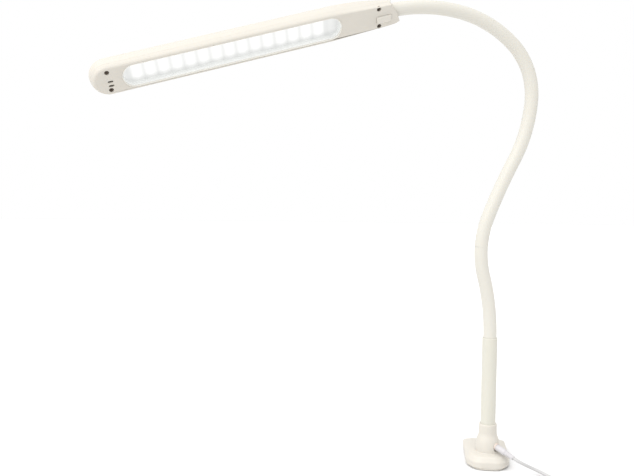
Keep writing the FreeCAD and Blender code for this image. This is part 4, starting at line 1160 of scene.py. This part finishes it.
opal = object_from("diffuser_opal_sheet", opal_mesh, opal_finish(), 40.0)
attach(opal, "head")
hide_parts("diffuser")
dress("led_board", moulded_finish("board_white", (0.85, 0.85, 0.85)))
dress("leds", moulded_finish("led_phosphor", (0.85, 0.72, 0.2), 0.25))
dress("heat_spreader", metal_finish("spreader_aluminium", (0.7, 0.7, 0.72), 0.35))
dress("driver_board", moulded_finish("board_green", (0.05, 0.24, 0.1), 0.4))
part_black = moulded_finish("part_black", (0.03, 0.03, 0.032), 0.4)
for node in ("driver_parts", "switch_body", "switch_plunger"):
    dress(node, part_black)
dress("neck_bush", moulded_finish("bush_acetal", (0.8, 0.8, 0.78), 0.3))

# ---- Head: screws in their wells ------------------------------------------------------------------
# Zinc cross-head screws, deep in wells at the heel and at the tip. Each sits on a boss of the lower
# shell. The screws and the wells' walls are coloured dark brown: painted shade in the deep wells.
# The screw heads' dark brown is painted shade at the bottom of the deep wells.
screw_shade_metal = metal_finish("screw_painted_shade", (0.16, 0.13, 0.11), 0.4)
dress("head_screws", screw_shade_metal)
WELL_MOUTH = FACE + 0.9
WELL_SEAT = FACE + 3.4
BOSS_TOP = -2.8
BOSS_RADIUS = 3.0
SHANK_BORE = 1.25
WELL_SECTION = [(WELL_MOUTH, WELL_RADIUS), (WELL_SEAT, WELL_RADIUS), (WELL_SEAT, SHANK_BORE),
                (BOSS_TOP, SHANK_BORE), (BOSS_TOP, BOSS_RADIUS), (WELL_MOUTH, BOSS_RADIUS),
                (WELL_MOUTH, WELL_RADIUS)]
# The wells' walls are dark brown, not cream: painted shade inside the deep wells.
well_shade_finish = ivory_finish("well_painted_shade", (0.30, 0.25, 0.20))
for number, (x, y) in enumerate(SCREWS, start=1):
    foot = head @ Vector((x * MM, y * MM, 0.0))
    well = lathe("screw_well_%d" % number,
                 [(along * MM, radius * MM) for along, radius in WELL_SECTION], foot, head_z, well_shade_finish, 32)
    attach(well, "head")

# ---- Head: press switch ---------------------------------------------------------------------------
# A cream rocker-shaped button that stands a little proud of the face, with rounded edges and a
# shallow dish for the finger.
button_mesh = bmesh.new()
# The button's side and rounded edge, then its dish: how far out, and how high.
BUTTON_PROFILE = [(0.0, FACE + HEAD_WALL + 0.4), (0.0, FACE - 0.35), (-0.08, FACE - 0.65), (-0.4, FACE - 1.1),
                  (-0.75, FACE - 1.38), (-1.15, FACE - 1.5), (-1.6, FACE - 1.45), (-2.6, FACE - 1.3)]
rings = []
for out, height in BUTTON_PROFILE:
    loop = round_box(SWITCH_X, SWITCH_Y, SWITCH_LONG + 2 * out, SWITCH_WIDE + 2 * out, max(1.0 + out, 0.15))
    rings.append([button_mesh.verts.new((x, y, height)) for x, y in loop])
join_rings(button_mesh, rings)
button_mesh.faces.new(rings[0])
button_mesh.faces.new(list(reversed(rings[-1])))
in_row_frame(button_mesh)
# The button's cream is a little lighter than the casing's: painted highlight for its lit edges.
button_highlight_ivory = ivory_finish("button_highlight_ivory", (0.60, 0.57, 0.515), 0.26, 0.00001)
button = object_from("press_switch", button_mesh, button_highlight_ivory, 35.0)
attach(button, "button")
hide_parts("switch_button")
